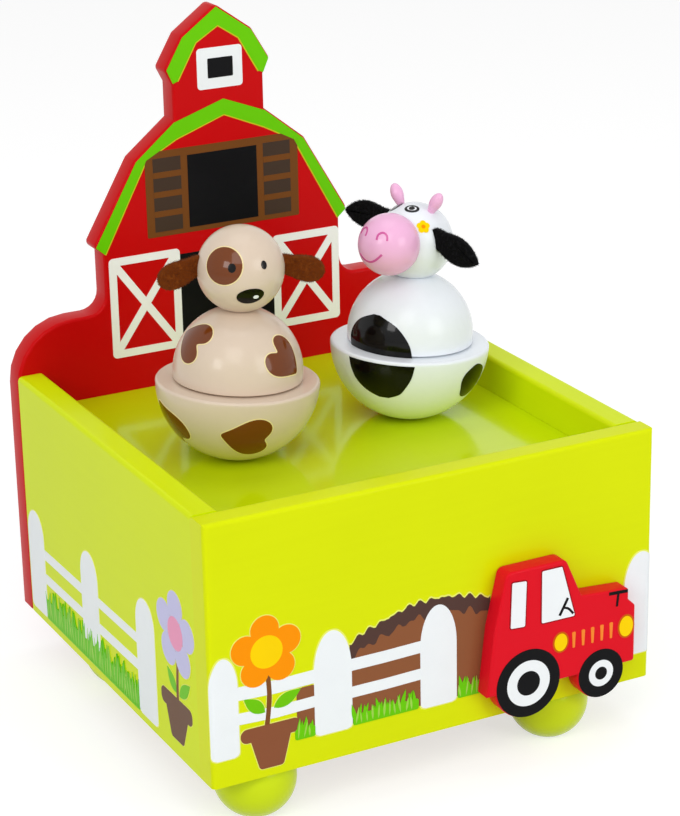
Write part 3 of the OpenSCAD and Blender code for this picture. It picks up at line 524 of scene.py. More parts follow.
@dataclass(frozen=True)
class GlossPaint(Finish):
    """Sprayed gloss paint through which the wood's fibres show faintly.

    Attributes:
        grain: which way the wood under the paint runs.
        rough: the paint's mean roughness.
        coat: how strong its clear coat is.
        haze: the clear coat's roughness.
        gloss: how strongly the paint itself mirrors.
    """

    grain: Grain = Grain.ALONG_X
    rough: float = 0.3
    coat: float = 0.03
    haze: float = 0.1
    gloss: float = 0.06

    def dress(self, shader: Shader) -> None:
        """Lay cloudy colour, fibres, orange peel and a clear coat.

        Args:
            shader: the finish's nodes.
        """
        cloud = shader.noise(0.03, 3.0)
        fibre = shader.noise(0.7, 4.0, self.grain.value)
        peel = shader.noise(0.55, 2.0)
        nib = 1.0 - shader.cells(0.11).between(0.0, 0.025)
        shade = 0.955 + cloud * 0.06 + fibre * 0.03 - nib * 0.05
        shader.lay({"Base Color": shader.shaded(self.tint, shade),
                    "Roughness": self.rough - 0.06 + cloud * 0.06 + peel * 0.06,
                    "Coat Weight": self.coat * (0.85 + cloud * 0.3),
                    "Coat Roughness": self.haze, "IOR": 1.48, "Specular IOR Level": self.gloss})
        shader.bump(peel * 0.55 + fibre * 0.3 + nib * 0.2, 0.02)


@dataclass(frozen=True)
class Ink(Finish):
    """Screen-printed or brushed colour that lies on the paint as a thin film.

    Attributes:
        rough: the film's mean roughness.
        coat: how strong its clear coat is.
        gloss: how strongly the film itself mirrors.
    """

    rough: float = 0.32
    coat: float = 0.02
    gloss: float = 0.06

    def dress(self, shader: Shader) -> None:
        """Lay slightly uneven colour with the fine mesh that a screen leaves.

        Args:
            shader: the finish's nodes.
        """
        cloud = shader.noise(0.12, 2.0)
        mesh = shader.noise(3.2, 1.0)
        shade = 0.955 + cloud * 0.06 + mesh * 0.03
        shader.lay({"Base Color": shader.shaded(self.tint, shade),
                    "Roughness": self.rough - 0.05 + cloud * 0.1,
                    "Coat Weight": self.coat * (0.8 + cloud * 0.4), "Coat Roughness": 0.06, "IOR": 1.48,
                    "Specular IOR Level": self.gloss})
        shader.bump(mesh * 0.5 + cloud * 0.5, 0.012)


@dataclass(frozen=True)
class Felt(Finish):
    """Pressed wool felt.

    Attributes:
        light: the colour of its lighter fibres.
    """

    light: Colour = (0.5, 0.5, 0.5)

    def dress(self, shader: Shader) -> None:
        """Lay two crossing sets of fibres, light tips and a soft sheen.

        Args:
            shader: the finish's nodes.
        """
        one = shader.noise(1.6, 5.0, (0.35, 1.0, 1.0))
        other = shader.noise(1.6, 5.0, (1.0, 1.0, 0.35))
        matted = one.larger(other)
        tip = matted.between(0.52, 0.78)
        shader.lay({"Base Color": shader.mixed(tip, self.tint, self.light),
                    "Roughness": 0.86 + matted * 0.14, "Sheen Weight": 0.04, "Sheen Roughness": 0.5,
                    "Specular IOR Level": 0.05})
        shader.bump(matted, 0.35)


@dataclass(frozen=True)
class Wood(Finish):
    """Bare sanded wood.

    Attributes:
        dark: the colour of its late growth.
        grain: which way it runs.
    """

    dark: Colour = (0.3, 0.2, 0.1)
    grain: Grain = Grain.ALONG_X

    def dress(self, shader: Shader) -> None:
        """Lay growth bands, fibres and open pores.

        Args:
            shader: the finish's nodes.
        """
        band = shader.noise(0.22, 3.0, self.grain.value)
        fibre = shader.noise(1.5, 4.0, self.grain.value)
        pore = 1.0 - shader.cells(0.9, self.grain.value).between(0.02, 0.12)
        late = (band.between(0.42, 0.66) * 0.6 + fibre * 0.4).between(0.15, 0.85)
        shader.lay({"Base Color": shader.shaded(shader.mixed(late, self.tint, self.dark), 1.0 - pore * 0.3),
                    "Roughness": 0.5 + fibre * 0.2})
        shader.bump(fibre * 0.6 - pore * 0.8, 0.06)


@dataclass(frozen=True)
class Metal(Finish):
    """Machined metal with fine tool marks.

    Attributes:
        aged: the colour of its dulled patches.
        marks: which way its tool marks run.
        rough: its mean roughness.
    """

    aged: Colour = (0.3, 0.3, 0.3)
    marks: Grain = Grain.ALONG_X
    rough: float = 0.28

    def dress(self, shader: Shader) -> None:
        """Lay tool marks and dulled patches.

        Args:
            shader: the finish's nodes.
        """
        mark = shader.noise(3.0, 3.0, self.marks.value)
        dull = shader.noise(0.12, 4.0).between(0.45, 0.75)
        colour = shader.mixed(dull * 0.7, self.tint, self.aged)
        shader.lay({"Base Color": shader.shaded(colour, 0.92 + mark * 0.16),
                    "Roughness": self.rough - 0.06 + mark * 0.12 + dull * 0.18, "Metallic": 1.0})
        shader.bump(mark, 0.012)


@dataclass(frozen=True)
class Plastic(Finish):
    """Moulded plastic with a fine sparked skin."""

    def dress(self, shader: Shader) -> None:
        """Lay faint flow marks and a sparked texture.

        Args:
            shader: the finish's nodes.
        """
        flow = shader.noise(0.15, 3.0)
        spark = shader.noise(4.0, 2.0)
        shader.lay({"Base Color": shader.shaded(self.tint, 0.96 + flow * 0.08),
                    "Roughness": 0.34 + spark * 0.16 + flow * 0.06})
        shader.bump(spark, 0.01)


LIME_FRONT = GlossPaint("lime_paint_front", srgb(220, 232, 4))
LIME_SIDE = GlossPaint("lime_paint_side", srgb(218, 236, 8), Grain.ALONG_Y)
# the deck's lime is tinted darker than the walls' lime: painted shade from the walls
LIME_DECK_SHADED = GlossPaint("lime_paint_deck_shaded", srgb(206, 228, 4), Grain.ALONG_X,
                       rough=0.2, coat=0.45, haze=0.09, gloss=0.1)
# the feet's lime is tinted darker than the walls' lime: painted shade
LIME_FOOT_SHADED = GlossPaint("lime_paint_foot_shaded", srgb(206, 226, 4), Grain.TURNED,
                       rough=0.24, coat=0.15, haze=0.08, gloss=0.12)
# the barn's red is tinted darker than the tractor's red: painted shade
BARN_RED_SHADED = GlossPaint("red_paint_barn_shaded", srgb(204, 8, 12), Grain.UPRIGHT)
TRACTOR_RED = GlossPaint("red_paint_tractor", srgb(226, 18, 36), Grain.ALONG_X)
BEIGE = GlossPaint("beige_gloss", srgb(219, 200, 180), Grain.TURNED,
                   rough=0.24, coat=0.25, haze=0.14, gloss=0.15)
COW_WHITE = GlossPaint("white_gloss", srgb(238, 243, 248), Grain.TURNED,
                       rough=0.24, coat=0.25, haze=0.12, gloss=0.15)
PINK = GlossPaint("pink_gloss", srgb(243, 184, 221), Grain.TURNED,
                  rough=0.24, coat=0.3, haze=0.12, gloss=0.2)

FENCE_WHITE = Ink("fence_white", srgb(242, 247, 250))
# the doors' white is tinted lighter than the other whites: painted light on the doors
DOOR_WHITE_LIT = Ink("door_white_lit", srgb(252, 252, 253))
HALO = Ink("print_edge", srgb(238, 242, 120))
EARTH = Ink("earth_brown", srgb(142, 88, 56))
CRUMB = Ink("earth_dark", srgb(84, 60, 54))
GRASS = Ink("grass_green", srgb(108, 204, 10))
GRASS_LIGHT = Ink("grass_light", srgb(164, 214, 84))
ORANGE = Ink("petal_orange", srgb(255, 150, 0))
YELLOW = Ink("flower_yellow", srgb(255, 214, 0))
LAVENDER = Ink("petal_lavender", srgb(203, 201, 238))
PINK_INK = Ink("flower_pink", srgb(240, 158, 194))
POT = Ink("pot_brown", srgb(140, 84, 56))
POT_DARK = Ink("pot_dark", srgb(108, 74, 54))
STEM = Ink("stem_brown", srgb(128, 78, 40))
LEAF = Ink("leaf_green", srgb(112, 200, 12))
ROOF = Ink("roof_green", srgb(108, 206, 6))
ROOF_EDGE = Ink("roof_edge", srgb(214, 204, 40))
WHITE_INK = Ink("window_white", srgb(244, 248, 251))
BLACK_INK = Ink("black_print", srgb(18, 18, 20))
BLACK_GLOSS = Ink("black_gloss", srgb(8, 8, 9), rough=0.16, coat=0.25, gloss=0.1)
SHUTTER = Ink("shutter_brown", srgb(118, 70, 30))
SHUTTER_DARK = Ink("shutter_dark", srgb(70, 54, 44))
LAMP_EDGE = Ink("lamp_edge", srgb(206, 96, 10))
GRILLE = Ink("grille_orange", srgb(250, 140, 52))
DARK_RED = Ink("window_edge", srgb(150, 14, 26))
PATCH_BROWN = Ink("patch_brown", srgb(114, 56, 17), rough=0.16, coat=0.4, gloss=0.1)
PATCH_EDGE = Ink("patch_edge", srgb(244, 226, 168), rough=0.18, coat=0.3, gloss=0.12)
ROSE = Ink("mouth_rose", srgb(212, 92, 160), rough=0.22, coat=0.3, gloss=0.2)

DOG_FELT = Felt("felt_brown", srgb(108, 50, 13), light=srgb(130, 67, 22))
COW_FELT = Felt("felt_black", srgb(10, 10, 11), light=srgb(34, 34, 38))
PLYWOOD = Wood("bare_plywood", srgb(214, 178, 128), dark=srgb(190, 148, 98), grain=Grain.ALONG_X)
DOWEL_WOOD = Wood("dowel_wood", srgb(222, 190, 140), dark=srgb(182, 138, 90), grain=Grain.UPRIGHT)
ZINC = Metal("cast_zinc", srgb(190, 192, 196), aged=srgb(130, 132, 138), marks=Grain.TURNED, rough=0.42)
STEEL = Metal("bright_steel", srgb(200, 202, 206), aged=srgb(128, 130, 136), marks=Grain.ALONG_X, rough=0.26)
BRASS = Metal("bright_brass", srgb(226, 186, 96), aged=srgb(150, 112, 52), marks=Grain.ALONG_X, rough=0.24)
CHROME = Metal("plated_magnet", srgb(214, 216, 220), aged=srgb(150, 152, 158), marks=Grain.TURNED, rough=0.14)
IVORY = Plastic("moulded_ivory", srgb(232, 230, 220))


# Outlines


def rounded(corners: Sequence[Corner], steps: int = 6) -> list[Point]:
    """Round the corners of an outline.

    Args:
        corners: points as (u, v, radius).
        steps: how many pieces each arc has.

    Returns:
        The outline's points.
    """
    made: list[Point] = []
    for i, (u, v, radius) in enumerate(corners):
        here = Vector((u, v))
        if radius <= 0:
            made.append((u, v))
            continue
        to_last = (Vector(corners[i - 1][:2]) - here).normalized()
        to_next = (Vector(corners[(i + 1) % len(corners)][:2]) - here).normalized()
        half = to_last.angle(to_next) / 2
        middle = here + (to_last + to_next).normalized() * (radius / math.sin(half))
        begin = here + to_last * (radius / math.tan(half)) - middle
        end = here + to_next * (radius / math.tan(half)) - middle
        first = math.atan2(begin.y, begin.x)
        sweep = (math.atan2(end.y, end.x) - first + math.pi) % (2 * math.pi) - math.pi
        for k in range(steps + 1):
            angle = first + sweep * k / steps
            made.append((middle.x + radius * math.cos(angle), middle.y + radius * math.sin(angle)))
    return made


def grown(outline: Sequence[Point], reach: float) -> list[Point]:
    """Move an anticlockwise outline outwards, or inwards where reach is below 0.

    Args:
        outline: the points.
        reach: how far each side moves.

    Returns:
        As many points.
    """
    points = [Vector(p) for p in outline]
    made: list[Point] = []
    for i, here in enumerate(points):
        before = (here - points[i - 1]).normalized()
        after = (points[(i + 1) % len(points)] - here).normalized()
        one, other = Vector((before.y, -before.x)), Vector((after.y, -after.x))
        shift = (one + other) / max(0.4, 1 + one.dot(other))
        made.append((here.x + shift.x * reach, here.y + shift.y * reach))
    return made


def oval(middle: Point, wide: float, high: float, steps: int = 40) -> list[Point]:
    """An ellipse from its middle and half sizes."""
    turns = (2 * math.pi * k / steps for k in range(steps))
    return [(middle[0] + wide * math.cos(t), middle[1] + high * math.sin(t)) for t in turns]


def heart(width: float, deep: float = 0.0, steps: int = 56) -> list[Point]:
    """A plump heart whose blunt tip points down.

    Args:
        width: how wide it is.
        deep: how much deeper its cleft is cut.
        steps: how many points it has.

    Returns:
        Its points.
    """
    made = []
    for k in range(steps):
        t = -2 * math.pi * k / steps
        u = 9 * math.sin(t) ** 3 + 6.8 * math.sin(t)
        v = 15 * math.cos(t) - 3.6 * math.cos(2 * t) - 1.4 * math.cos(3 * t) - 0.7 * math.cos(4 * t)
        cleft = deep * max(0.0, math.cos(t)) ** 12
        made.append((u * width / 32, (v + 1.5) * width / 32 - cleft))
    return made


def blot(wide: float, high: float, swing: float, steps: int = 48) -> list[Point]:
    """A slightly uneven oval patch.

    Args:
        wide, high: half its width and half its height.
        swing: where its bulges lie, in radians.
        steps: how many points it has.

    Returns:
        Its points.
    """
    made = []
    for k in range(steps):
        t = 2 * math.pi * k / steps
        reach = 1 + 0.05 * math.sin(3 * t + swing) + 0.03 * math.sin(5 * t + 2 * swing)
        made.append((wide * reach * math.cos(t), high * reach * math.sin(t)))
    return made


def leaf(root: Point, tip: Point, width: float, steps: int = 10) -> list[Point]:
    """A pointed leaf from its root to its tip.

    Args:
        root, tip: its ends.
        width: how wide it is.
        steps: how many pieces each side has.

    Returns:
        Its points.
    """
    start, way = Vector(root), Vector(tip) - Vector(root)
    side = Vector((way.y, -way.x)).normalized() * width / 2
    right, left = [], []
    for k in range(1, steps):
        t = k / steps
        bulge = math.sin(math.pi * t ** 0.85)
        right.append(tuple(start + way * t + side * bulge))
        left.append(tuple(start + way * t - side * bulge))
    return [root, *right, tip, *reversed(left)]


def box_outline(left: float, low: float, right: float, high: float, radius: float = 0.0) -> list[Point]:
    """A rectangle, with rounded corners where a radius is given."""
    return rounded([(left, low, radius), (right, low, radius), (right, high, radius), (left, high, radius)])


def arc(radius: float, middle: float, low: float, high: float, steps: int = 40) -> list[Point]:
    """A ball's profile between two heights.

    Args:
        radius, middle: the ball's radius and its middle's height.
        low, high: the two heights.
        steps: how many pieces it has.

    Returns:
        Points as (radius, height).
    """
    start, end = (math.asin(max(-1.0, min(1.0, (level - middle) / radius))) for level in (low, high))
    angles = (start + (end - start) * k / steps for k in range(steps + 1))
    return [(max(0.0, radius * math.cos(a)), middle + radius * math.sin(a)) for a in angles]


# Shells and faces


class Shell:
    """Gathers the points and faces of one piece, in millimetres."""

    def __init__(self) -> None:
        """Start empty."""
        self.points: list[Vector] = []
        self.faces: list[list[int]] = []
        self.flat: set[int] = set()

    def ring(self, points: Iterable[Vector]) -> list[int]:
        """Add points and return their numbers.

        Args:
            points: where they lie.

        Returns:
            Their numbers.
        """
        start = len(self.points)
        self.points.extend(Vector(p) for p in points)
        return list(range(start, len(self.points)))

    def skin(self, one: Sequence[int], other: Sequence[int], closed: bool = True) -> None:
        """Join two rows of points, or a row and a single point.

        Args:
            one, other: the rows' numbers.
            closed: whether the rows run round.
        """
        count = max(len(one), len(other))
        for i in range(count if closed else count - 1):
            j = (i + 1) % count
            quad = [one[i % len(one)], one[j % len(one)], other[j % len(other)], other[i % len(other)]]
            self.faces.append(list(dict.fromkeys(quad)))

    def cap(self, ring: Sequence[int]) -> None:
        """Close a ring with one flat face."""
        self.flat.add(len(self.faces))
        self.faces.append(list(ring))

    def lathe(self, profile: Sequence[Point], place: Matrix, loop: bool = False, steps: int = 96) -> None:
        """Turn a profile about the local Z axis.

        Args:
            profile: points as (radius, height); one at radius 0 is a pole.
            place: where the turned piece goes.
            loop: whether the profile runs back to its start, as a ring's does.
            steps: how many sides it has.
        """
        rows = []
        for radius, height in profile:
            if radius <= 1e-6:
                rows.append(self.ring([place @ Vector((0, 0, height))]))
                continue
            turns = [2 * math.pi * k / steps for k in range(steps)]
            rows.append(self.ring(place @ Vector((radius * math.cos(t), radius * math.sin(t), height))
                                  for t in turns))
        for one, other in zip(rows, rows[1:] + rows[:1] if loop else rows[1:]):
            self.skin(one, other)

    def slab(self, outline: Sequence[Point], thick: float, edge: float, place: Matrix) -> None:
        """Cut a board to an outline and round its edges.

        Args:
            outline: anticlockwise points (u, v), seen from the face at local Z = 0.
            thick: the board's thickness, which goes down from Z = 0.
            edge: the radius along its edges.
            place: where the board goes.
        """
        turns = [math.pi / 2 * k / 4 for k in range(5)]
        face = [(edge + 0.15, 0.0)] + [(edge * (1 - math.sin(t)), edge * (math.cos(t) - 1)) for t in turns]
        levels = face + [(inset, -thick - level) for inset, level in reversed(face)]
        rows = [self.ring(place @ Vector((u, v, level)) for u, v in grown(outline, -inset))
                for inset, level in levels]
        for one, other in zip(rows, rows[1:]):
            self.skin(one, other)
        self.cap(rows[0])
        self.cap(rows[-1])

    def mesh(self, name: str, scale: float = MM) -> bpy.types.Mesh:
        """Make a mesh whose faces point outwards.

        Args:
            name: the mesh's name.
            scale: from millimetres to its units.

        Returns:
            The mesh.
        """
        made = bpy.data.meshes.new(name)
        made.from_pydata([p * scale for p in self.points], [], self.faces)
        with worked(made) as work:
            bmesh.ops.recalc_face_normals(work, faces=work.faces)
        made.polygons.foreach_set("use_smooth", [i not in self.flat for i in range(len(self.faces))])
        made.set_sharp_from_angle(angle=math.radians(CRISP))
        return made


class Face:
    """A surface on which prints are laid out in millimetres."""

    def at(self, u: float, v: float, lift: float) -> Vector:
        """The point at (u, v), lifted off the surface; each kind of face has its own."""
        raise NotImplementedError

    def wrap(self, mesh: bpy.types.Mesh) -> bpy.types.Mesh:
        """Move a mesh that was laid out flat onto this face.

        Args:
            mesh: its points are (u, v, lift).

        Returns:
            The same mesh.
        """
        for point in mesh.vertices:
            point.co = self.at(*point.co) * MM
        mesh.set_sharp_from_angle(angle=math.radians(CRISP))
        return mesh


@dataclass
class FlatFace(Face):
    """A flat face.

    Attributes:
        origin: the point at (0, 0).
        across: the way of u.
        upward: the way of v.
    """

    origin: Vector
    across: Vector
    upward: Vector

    def at(self, u: float, v: float, lift: float) -> Vector:
        """The point at (u, v), lifted off the face."""
        return self.origin + self.across * u + self.upward * v + self.across.cross(self.upward) * lift


@dataclass
class FrontFace(Face):
    """The box's front, which runs on round both rounded corners.

    Attributes:
        half: half the box's width.
        front: where the front face lies.
        edge: the corners' radius.
    """

    half: float = HALF_WIDTH
    front: float = -58.0
    edge: float = 1.2

    def at(self, u: float, v: float, lift: float) -> Vector:
        """The point at (u, v), carried round the corner where u is past it.

        Args:
            u, v: the place on the print.
            lift: how far the point stands off.

        Returns:
            The point.
        """
        over = abs(u) - (self.half - self.edge)
        if over <= 0:
            return Vector((u, self.front - lift, v + FLOOR_OF_BOX))
        quarter = self.edge * math.pi / 2
        turn = min(over, quarter) / self.edge
        reach = self.edge + lift
        x = self.half - self.edge + reach * math.sin(turn)
        y = self.front + self.edge - reach * math.cos(turn) + max(0.0, over - quarter)
        return Vector((math.copysign(x, u), y, v + FLOOR_OF_BOX))


@dataclass
class BallFace(Face):
    """A place on a ball, laid out by true distance from its middle.

    Attributes:
        middle: the ball's middle.
        radius: its radius.
        azimuth: the place's angle from the figure's front, towards its left hand.
        elevation: its angle above the ball's equator.
        roll: how far the print is turned.
        place: where the figure that has the ball stands.
    """

    middle: Vector
    radius: float
    azimuth: float
    elevation: float
    roll: float
    place: Matrix

    def __post_init__(self) -> None:
        """Work out the place's own axes."""
        self.out = direction(self.azimuth, self.elevation)
        east = direction(self.azimuth + 90, 0)
        north = self.out.cross(east)
        swing = math.radians(self.roll)
        self.across = east * math.cos(swing) - north * math.sin(swing)
        self.upward = north * math.cos(swing) + east * math.sin(swing)

    def at(self, u: float, v: float, lift: float) -> Vector:
        """The point at (u, v), lifted off the ball.

        Args:
            u, v: the place on the print.
            lift: how far the point stands off.

        Returns:
            The point.
        """
        far = math.hypot(u, v)
        side = (self.across * u + self.upward * v) / max(far, 1e-9)
        way = self.out * math.cos(far / self.radius) + side * math.sin(far / self.radius)
        return self.place @ (self.middle + way * (self.radius + lift))


@dataclass
class BeltFace(Face):
    """A ball laid out in degrees, for patches that end at a rim.

    Attributes:
        middle: the ball's middle.
        radius: its radius.
        place: where the figure that has the ball stands.
    """

    middle: Vector
    radius: float
    place: Matrix

    def at(self, u: float, v: float, lift: float) -> Vector:
        """The point u degrees round from the figure's front and v degrees above the equator."""
        return self.place @ (self.middle + direction(u, v) * (self.radius + lift))


DRAWING_BOARD = FlatFace(Vector((0, 0, 0)), Vector((1, 0, 0)), Vector((0, 1, 0)))


class Film:
    """A thin closed skin of ink that lies on a face and reaches a little into it."""

    SINK = 0.06

    def __init__(self, face: Face, shell: Shell) -> None:
        """Lay ink on a face, into a shell."""
        self.face, self.shell = face, shell

    def plate(self, outline: Sequence[Point], lift: float) -> None:
        """Lay a flat patch of any outline.

        Args:
            outline: its points.
            lift: how far it stands off the face.
        """
        top = self.shell.ring(self.face.at(u, v, lift) for u, v in outline)
        low = self.shell.ring(self.face.at(u, v, -self.SINK) for u, v in outline)
        self.shell.cap(top)
        self.shell.cap(low)
        self.shell.skin(top, low)

    def patch(self, outline: Sequence[Point], lift: float, rings: int = 6) -> None:
        """Lay a patch that follows a curved face, from its middle outwards.

        Args:
            outline: its points.
            lift: how far it stands off the face.
            rings: how many rings of faces it has.
        """
        edges = []
        for level in (lift, -self.SINK):
            last = self.shell.ring([self.face.at(0, 0, level)])
            for k in range(1, rings + 1):
                here = self.shell.ring(self.face.at(u * k / rings, v * k / rings, level) for u, v in outline)
                self.shell.skin(last, here)
                last = here
            edges.append(last)
        self.shell.skin(*edges)

    def ribbon(self, one: Sequence[Point], other: Sequence[Point], lift: float, columns: int = 1,
               closed: bool = False) -> None:
        """Lay a band between two rows of points.

        Args:
            one, other: the band's two edges, with as many points.
            lift: how far it stands off the face.
            columns: how many strips it has across.
            closed: whether it runs back to its start.
        """
        sheets = []
        for level in (lift, -self.SINK):
            rows = []
            for (u, v), (far_u, far_v) in zip(one, other):
                shares = (k / columns for k in range(columns + 1))
                rows.append(self.shell.ring(self.face.at(u + (far_u - u) * s, v + (far_v - v) * s, level)
                                            for s in shares))
            sheets.append(rows + rows[:1] if closed else rows)
        for rows in sheets:
            for here, after in zip(rows, rows[1:]):
                self.shell.skin(here, after, closed=False)
        for column in (0, -1):
            self.shell.skin([r[column] for r in sheets[0]], [r[column] for r in sheets[1]], closed=False)
        if not closed:
            for row in (0, -1):
                self.shell.skin(sheets[0][row], sheets[1][row], closed=False)

    def stroke(self, path: Sequence[Point], width: float, lift: float) -> None:
        """Lay a line of even width along a path.

        Args:
            path: its points.
            width: how wide it is.
            lift: how far it stands off the face.
        """
        points = [Vector(p) for p in path]
        one, other = [], []
        for i, here in enumerate(points):
            way = (points[min(i + 1, len(points) - 1)] - points[max(i - 1, 0)]).normalized()
            side = Vector((way.y, -way.x)) * width / 2
            one.append(tuple(here - side))
            other.append(tuple(here + side))
        self.ribbon(one, other, lift)


def eased(path: Sequence[Point], steps: int = 6) -> list[Point]:
    """Draw a smooth line through a few points.

    Args:
        path: the few points.
        steps: how many pieces lie between two of them.

    Returns:
        The line's points.
    """
    points = [Vector(p) for p in path]
    made: list[Point] = []
    for i in range(len(points) - 1):
        a, b, c, d = (points[max(0, i - 1)], points[i], points[i + 1], points[min(len(points) - 1, i + 2)])
        for k in range(steps):
            t = k / steps
            made.append(tuple(0.5 * (2 * b + (c - a) * t + (2 * a - 5 * b + 4 * c - d) * t ** 2
                                     + (3 * b - a - 3 * c + d) * t ** 3)))
    return made + [tuple(points[-1])]


# Workshop and prints


class Workshop:
    """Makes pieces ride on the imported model.

    Attributes:
        WELD: how near two packed points are one, in metres.
        FLAT: how little two faces may differ to become one, in degrees.
    """

    WELD = 2e-6
    FLAT = 0.4

    def __init__(self, frame: dict) -> None:
        """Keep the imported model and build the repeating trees.
        """
        self.nodes: dict[str, bpy.types.Object] = frame["nodes"]
        self.record: dict = frame["record"]
        self.row, self.whorl, self.tuft, self.nap = Row(), Whorl(), Tuft(), Nap()

    def piece(self, name: str, mesh: bpy.types.Mesh, finish: Finish, body: str, stands_for: str = "",
              slot: str = "") -> bpy.types.Object:
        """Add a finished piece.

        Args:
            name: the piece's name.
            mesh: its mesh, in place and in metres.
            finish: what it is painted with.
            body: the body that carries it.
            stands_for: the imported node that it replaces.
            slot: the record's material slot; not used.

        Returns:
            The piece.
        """
        mesh.materials.clear()
        mesh.materials.append(finish.material())
        made = in_scene(name, mesh)
        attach(made, body)
        if stands_for:
            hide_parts(stands_for)
        LOG.info("%s: %d faces, %s", name, len(mesh.polygons), finish.name)
        return made

    def turned(self, node: str, profile: Sequence[Point], place: Matrix, finish: Finish, body: str, slot: str,
               loop: bool = False, steps: int = 96) -> None:
        """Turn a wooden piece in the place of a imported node.

        Args:
            node: the node's name.
            profile: points as (radius, height).
            place: where the piece goes.
            finish: what it is painted with.
            body: the body that carries it.
            slot: the record's material slot.
            loop: whether the profile runs back to its start.
            steps: how many sides the piece has.
        """
        shell = Shell()
        shell.lathe(profile, place, loop, steps)
        self.piece("turned_" + node, shell.mesh(node), finish, body, node, slot)

    def smoothed(self, node: str, sharp: float = CRISP) -> bpy.types.Mesh:
        """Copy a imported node's mesh, join its triangles and even its shading.

        Args:
            node: the node's name.
            sharp: the angle over which an edge stays crisp.

        Returns:
            The mesh.
        """
        made = self.nodes[node].data.copy()
        with worked(made) as work:
            bmesh.ops.remove_doubles(work, verts=work.verts, dist=self.WELD)
            bmesh.ops.dissolve_limit(work, angle_limit=math.radians(self.FLAT), verts=work.verts,
                                     edges=work.edges)
        if made.has_custom_normals:
            made.attributes.remove(made.attributes["custom_normal"])
        made.polygons.foreach_set("use_smooth", [True] * len(made.polygons))
        made.set_sharp_from_angle(angle=math.radians(sharp))
        return applied(made, "WEIGHTED_NORMAL", lambda even: setattr(even, "keep_sharp", True))


class Print:
    """The films on one assembly, kept apart by colour."""

    def __init__(self, shop: Workshop, face: Face | None = None) -> None:
        """Start without ink.

        Args:
            shop: where the pieces are made.
            face: where films go unless they name another.
        """
        self.shop, self.face = shop, face
        self.shells: dict[Finish, Shell] = {}
        self.extra: list[tuple[str, bpy.types.Mesh, Finish]] = []

    def film(self, finish: Finish, face: Face | None = None) -> Film:
        """A film of that colour on a face."""
        return Film(face or self.face, self.shells.setdefault(finish, Shell()))

    def lay(self, *rows: tuple[Finish, Sequence[Point], float]) -> None:
        """Lay flat patches, each given as ink, outline and lift."""
        for ink, outline, lift in rows:
            self.film(ink).plate(outline, lift)

    def repeat(self, name: str, ink: Finish, tree: Repeat, draw: Callable[[Film], None], start: Point,
               sizes: dict[str, object]) -> None:
        """Repeat a blank on the drawing board and lay the result on the face.

        Args:
            name: what the piece's name ends with.
            ink: its colour.
            tree: what repeats the blank.
            draw: draws the blank.
            start: where the blank's own (0, 0) goes.
            sizes: the tree's named inputs.
        """
        shell = Shell()
        draw(Film(DRAWING_BOARD, shell))
        mesh = tree.run(shell.mesh("blank", 1.0), ink, sizes)
        mesh.transform(Matrix.Translation((*start, 0)))
        self.extra.append((name, self.face.wrap(mesh), ink))

    def hand_over(self, name: str, body: str) -> None:
        """Make one piece of each colour.

        Args:
            name: what the pieces' names begin with.
            body: the body that carries them.
        """
        for finish, shell in self.shells.items():
            self.shop.piece(f"{name}_{finish.name}", shell.mesh(finish.name), finish, body)
        for part, mesh, finish in self.extra:
            self.shop.piece(f"{name}_{part}", mesh, finish, body)


@dataclass
class Assembly:
    """A sub-assembly of the music box.

    Attributes:
        shop: where its pieces are made.
    """

    shop: Workshop

    def build(self) -> None:
        """Make every piece; each sub-assembly has its own way."""
        raise NotImplementedError


# The box


@dataclass
class Case(Assembly):
    """The open box: painted walls, sunk stage, bottom panel and ball feet.

    Attributes:
        foot_radius: the feet's radius.
        foot_middle: how high a foot's middle lies.
        foot_edge: the radius along a foot's flats.
        boards: how each board is finished, its node, its finish and its slot.
        feet: the ball feet.
    """

    foot_radius: float = 10.1
    foot_middle: float = 9.2
    foot_edge: float = 0.5
    boards: tuple[tuple[str, str, Finish, str], ...] = (
        ("painted", "front_wall", LIME_FRONT, "lime_paint"),
        ("painted", "left_wall", LIME_SIDE, "lime_paint"),
        ("painted", "right_wall", LIME_SIDE, "lime_paint"),
        ("painted", "stage_deck", LIME_DECK_SHADED, "lime_paint"),
        ("sanded", "bottom_panel", PLYWOOD, "plywood"))
    feet: tuple[str, ...] = ("foot_front_left", "foot_front_right", "foot_rear_left", "foot_rear_right")

    def build(self) -> None:
        """Make the boards and the feet."""
        for way, node, finish, slot in self.boards:
            self.shop.piece(f"{way}_{node}", self.shop.smoothed(node), finish, "case", node, slot)
        for node in self.feet:
            low, high = (Vector(corner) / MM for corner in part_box(node))
            place = Matrix.Translation(((low.x + high.x) / 2, (low.y + high.y) / 2, 0))
            self.shop.turned(node, self.foot_profile(high.z), place, LIME_FOOT_SHADED, "case", "lime_paint")

    def foot_profile(self, top: float) -> list[Point]:
        """A ball with a flat below and a flat above.

        Args:
            top: the upper flat's height.

        Returns:
            The profile from pole to pole.
        """
        ball = arc(self.foot_radius, self.foot_middle, 0.0, top, 32)
        return [(0.0, 0.0), (ball[0][0] - self.foot_edge, 0.0), *ball, (ball[-1][0] - self.foot_edge, top),
                (0.0, top)]


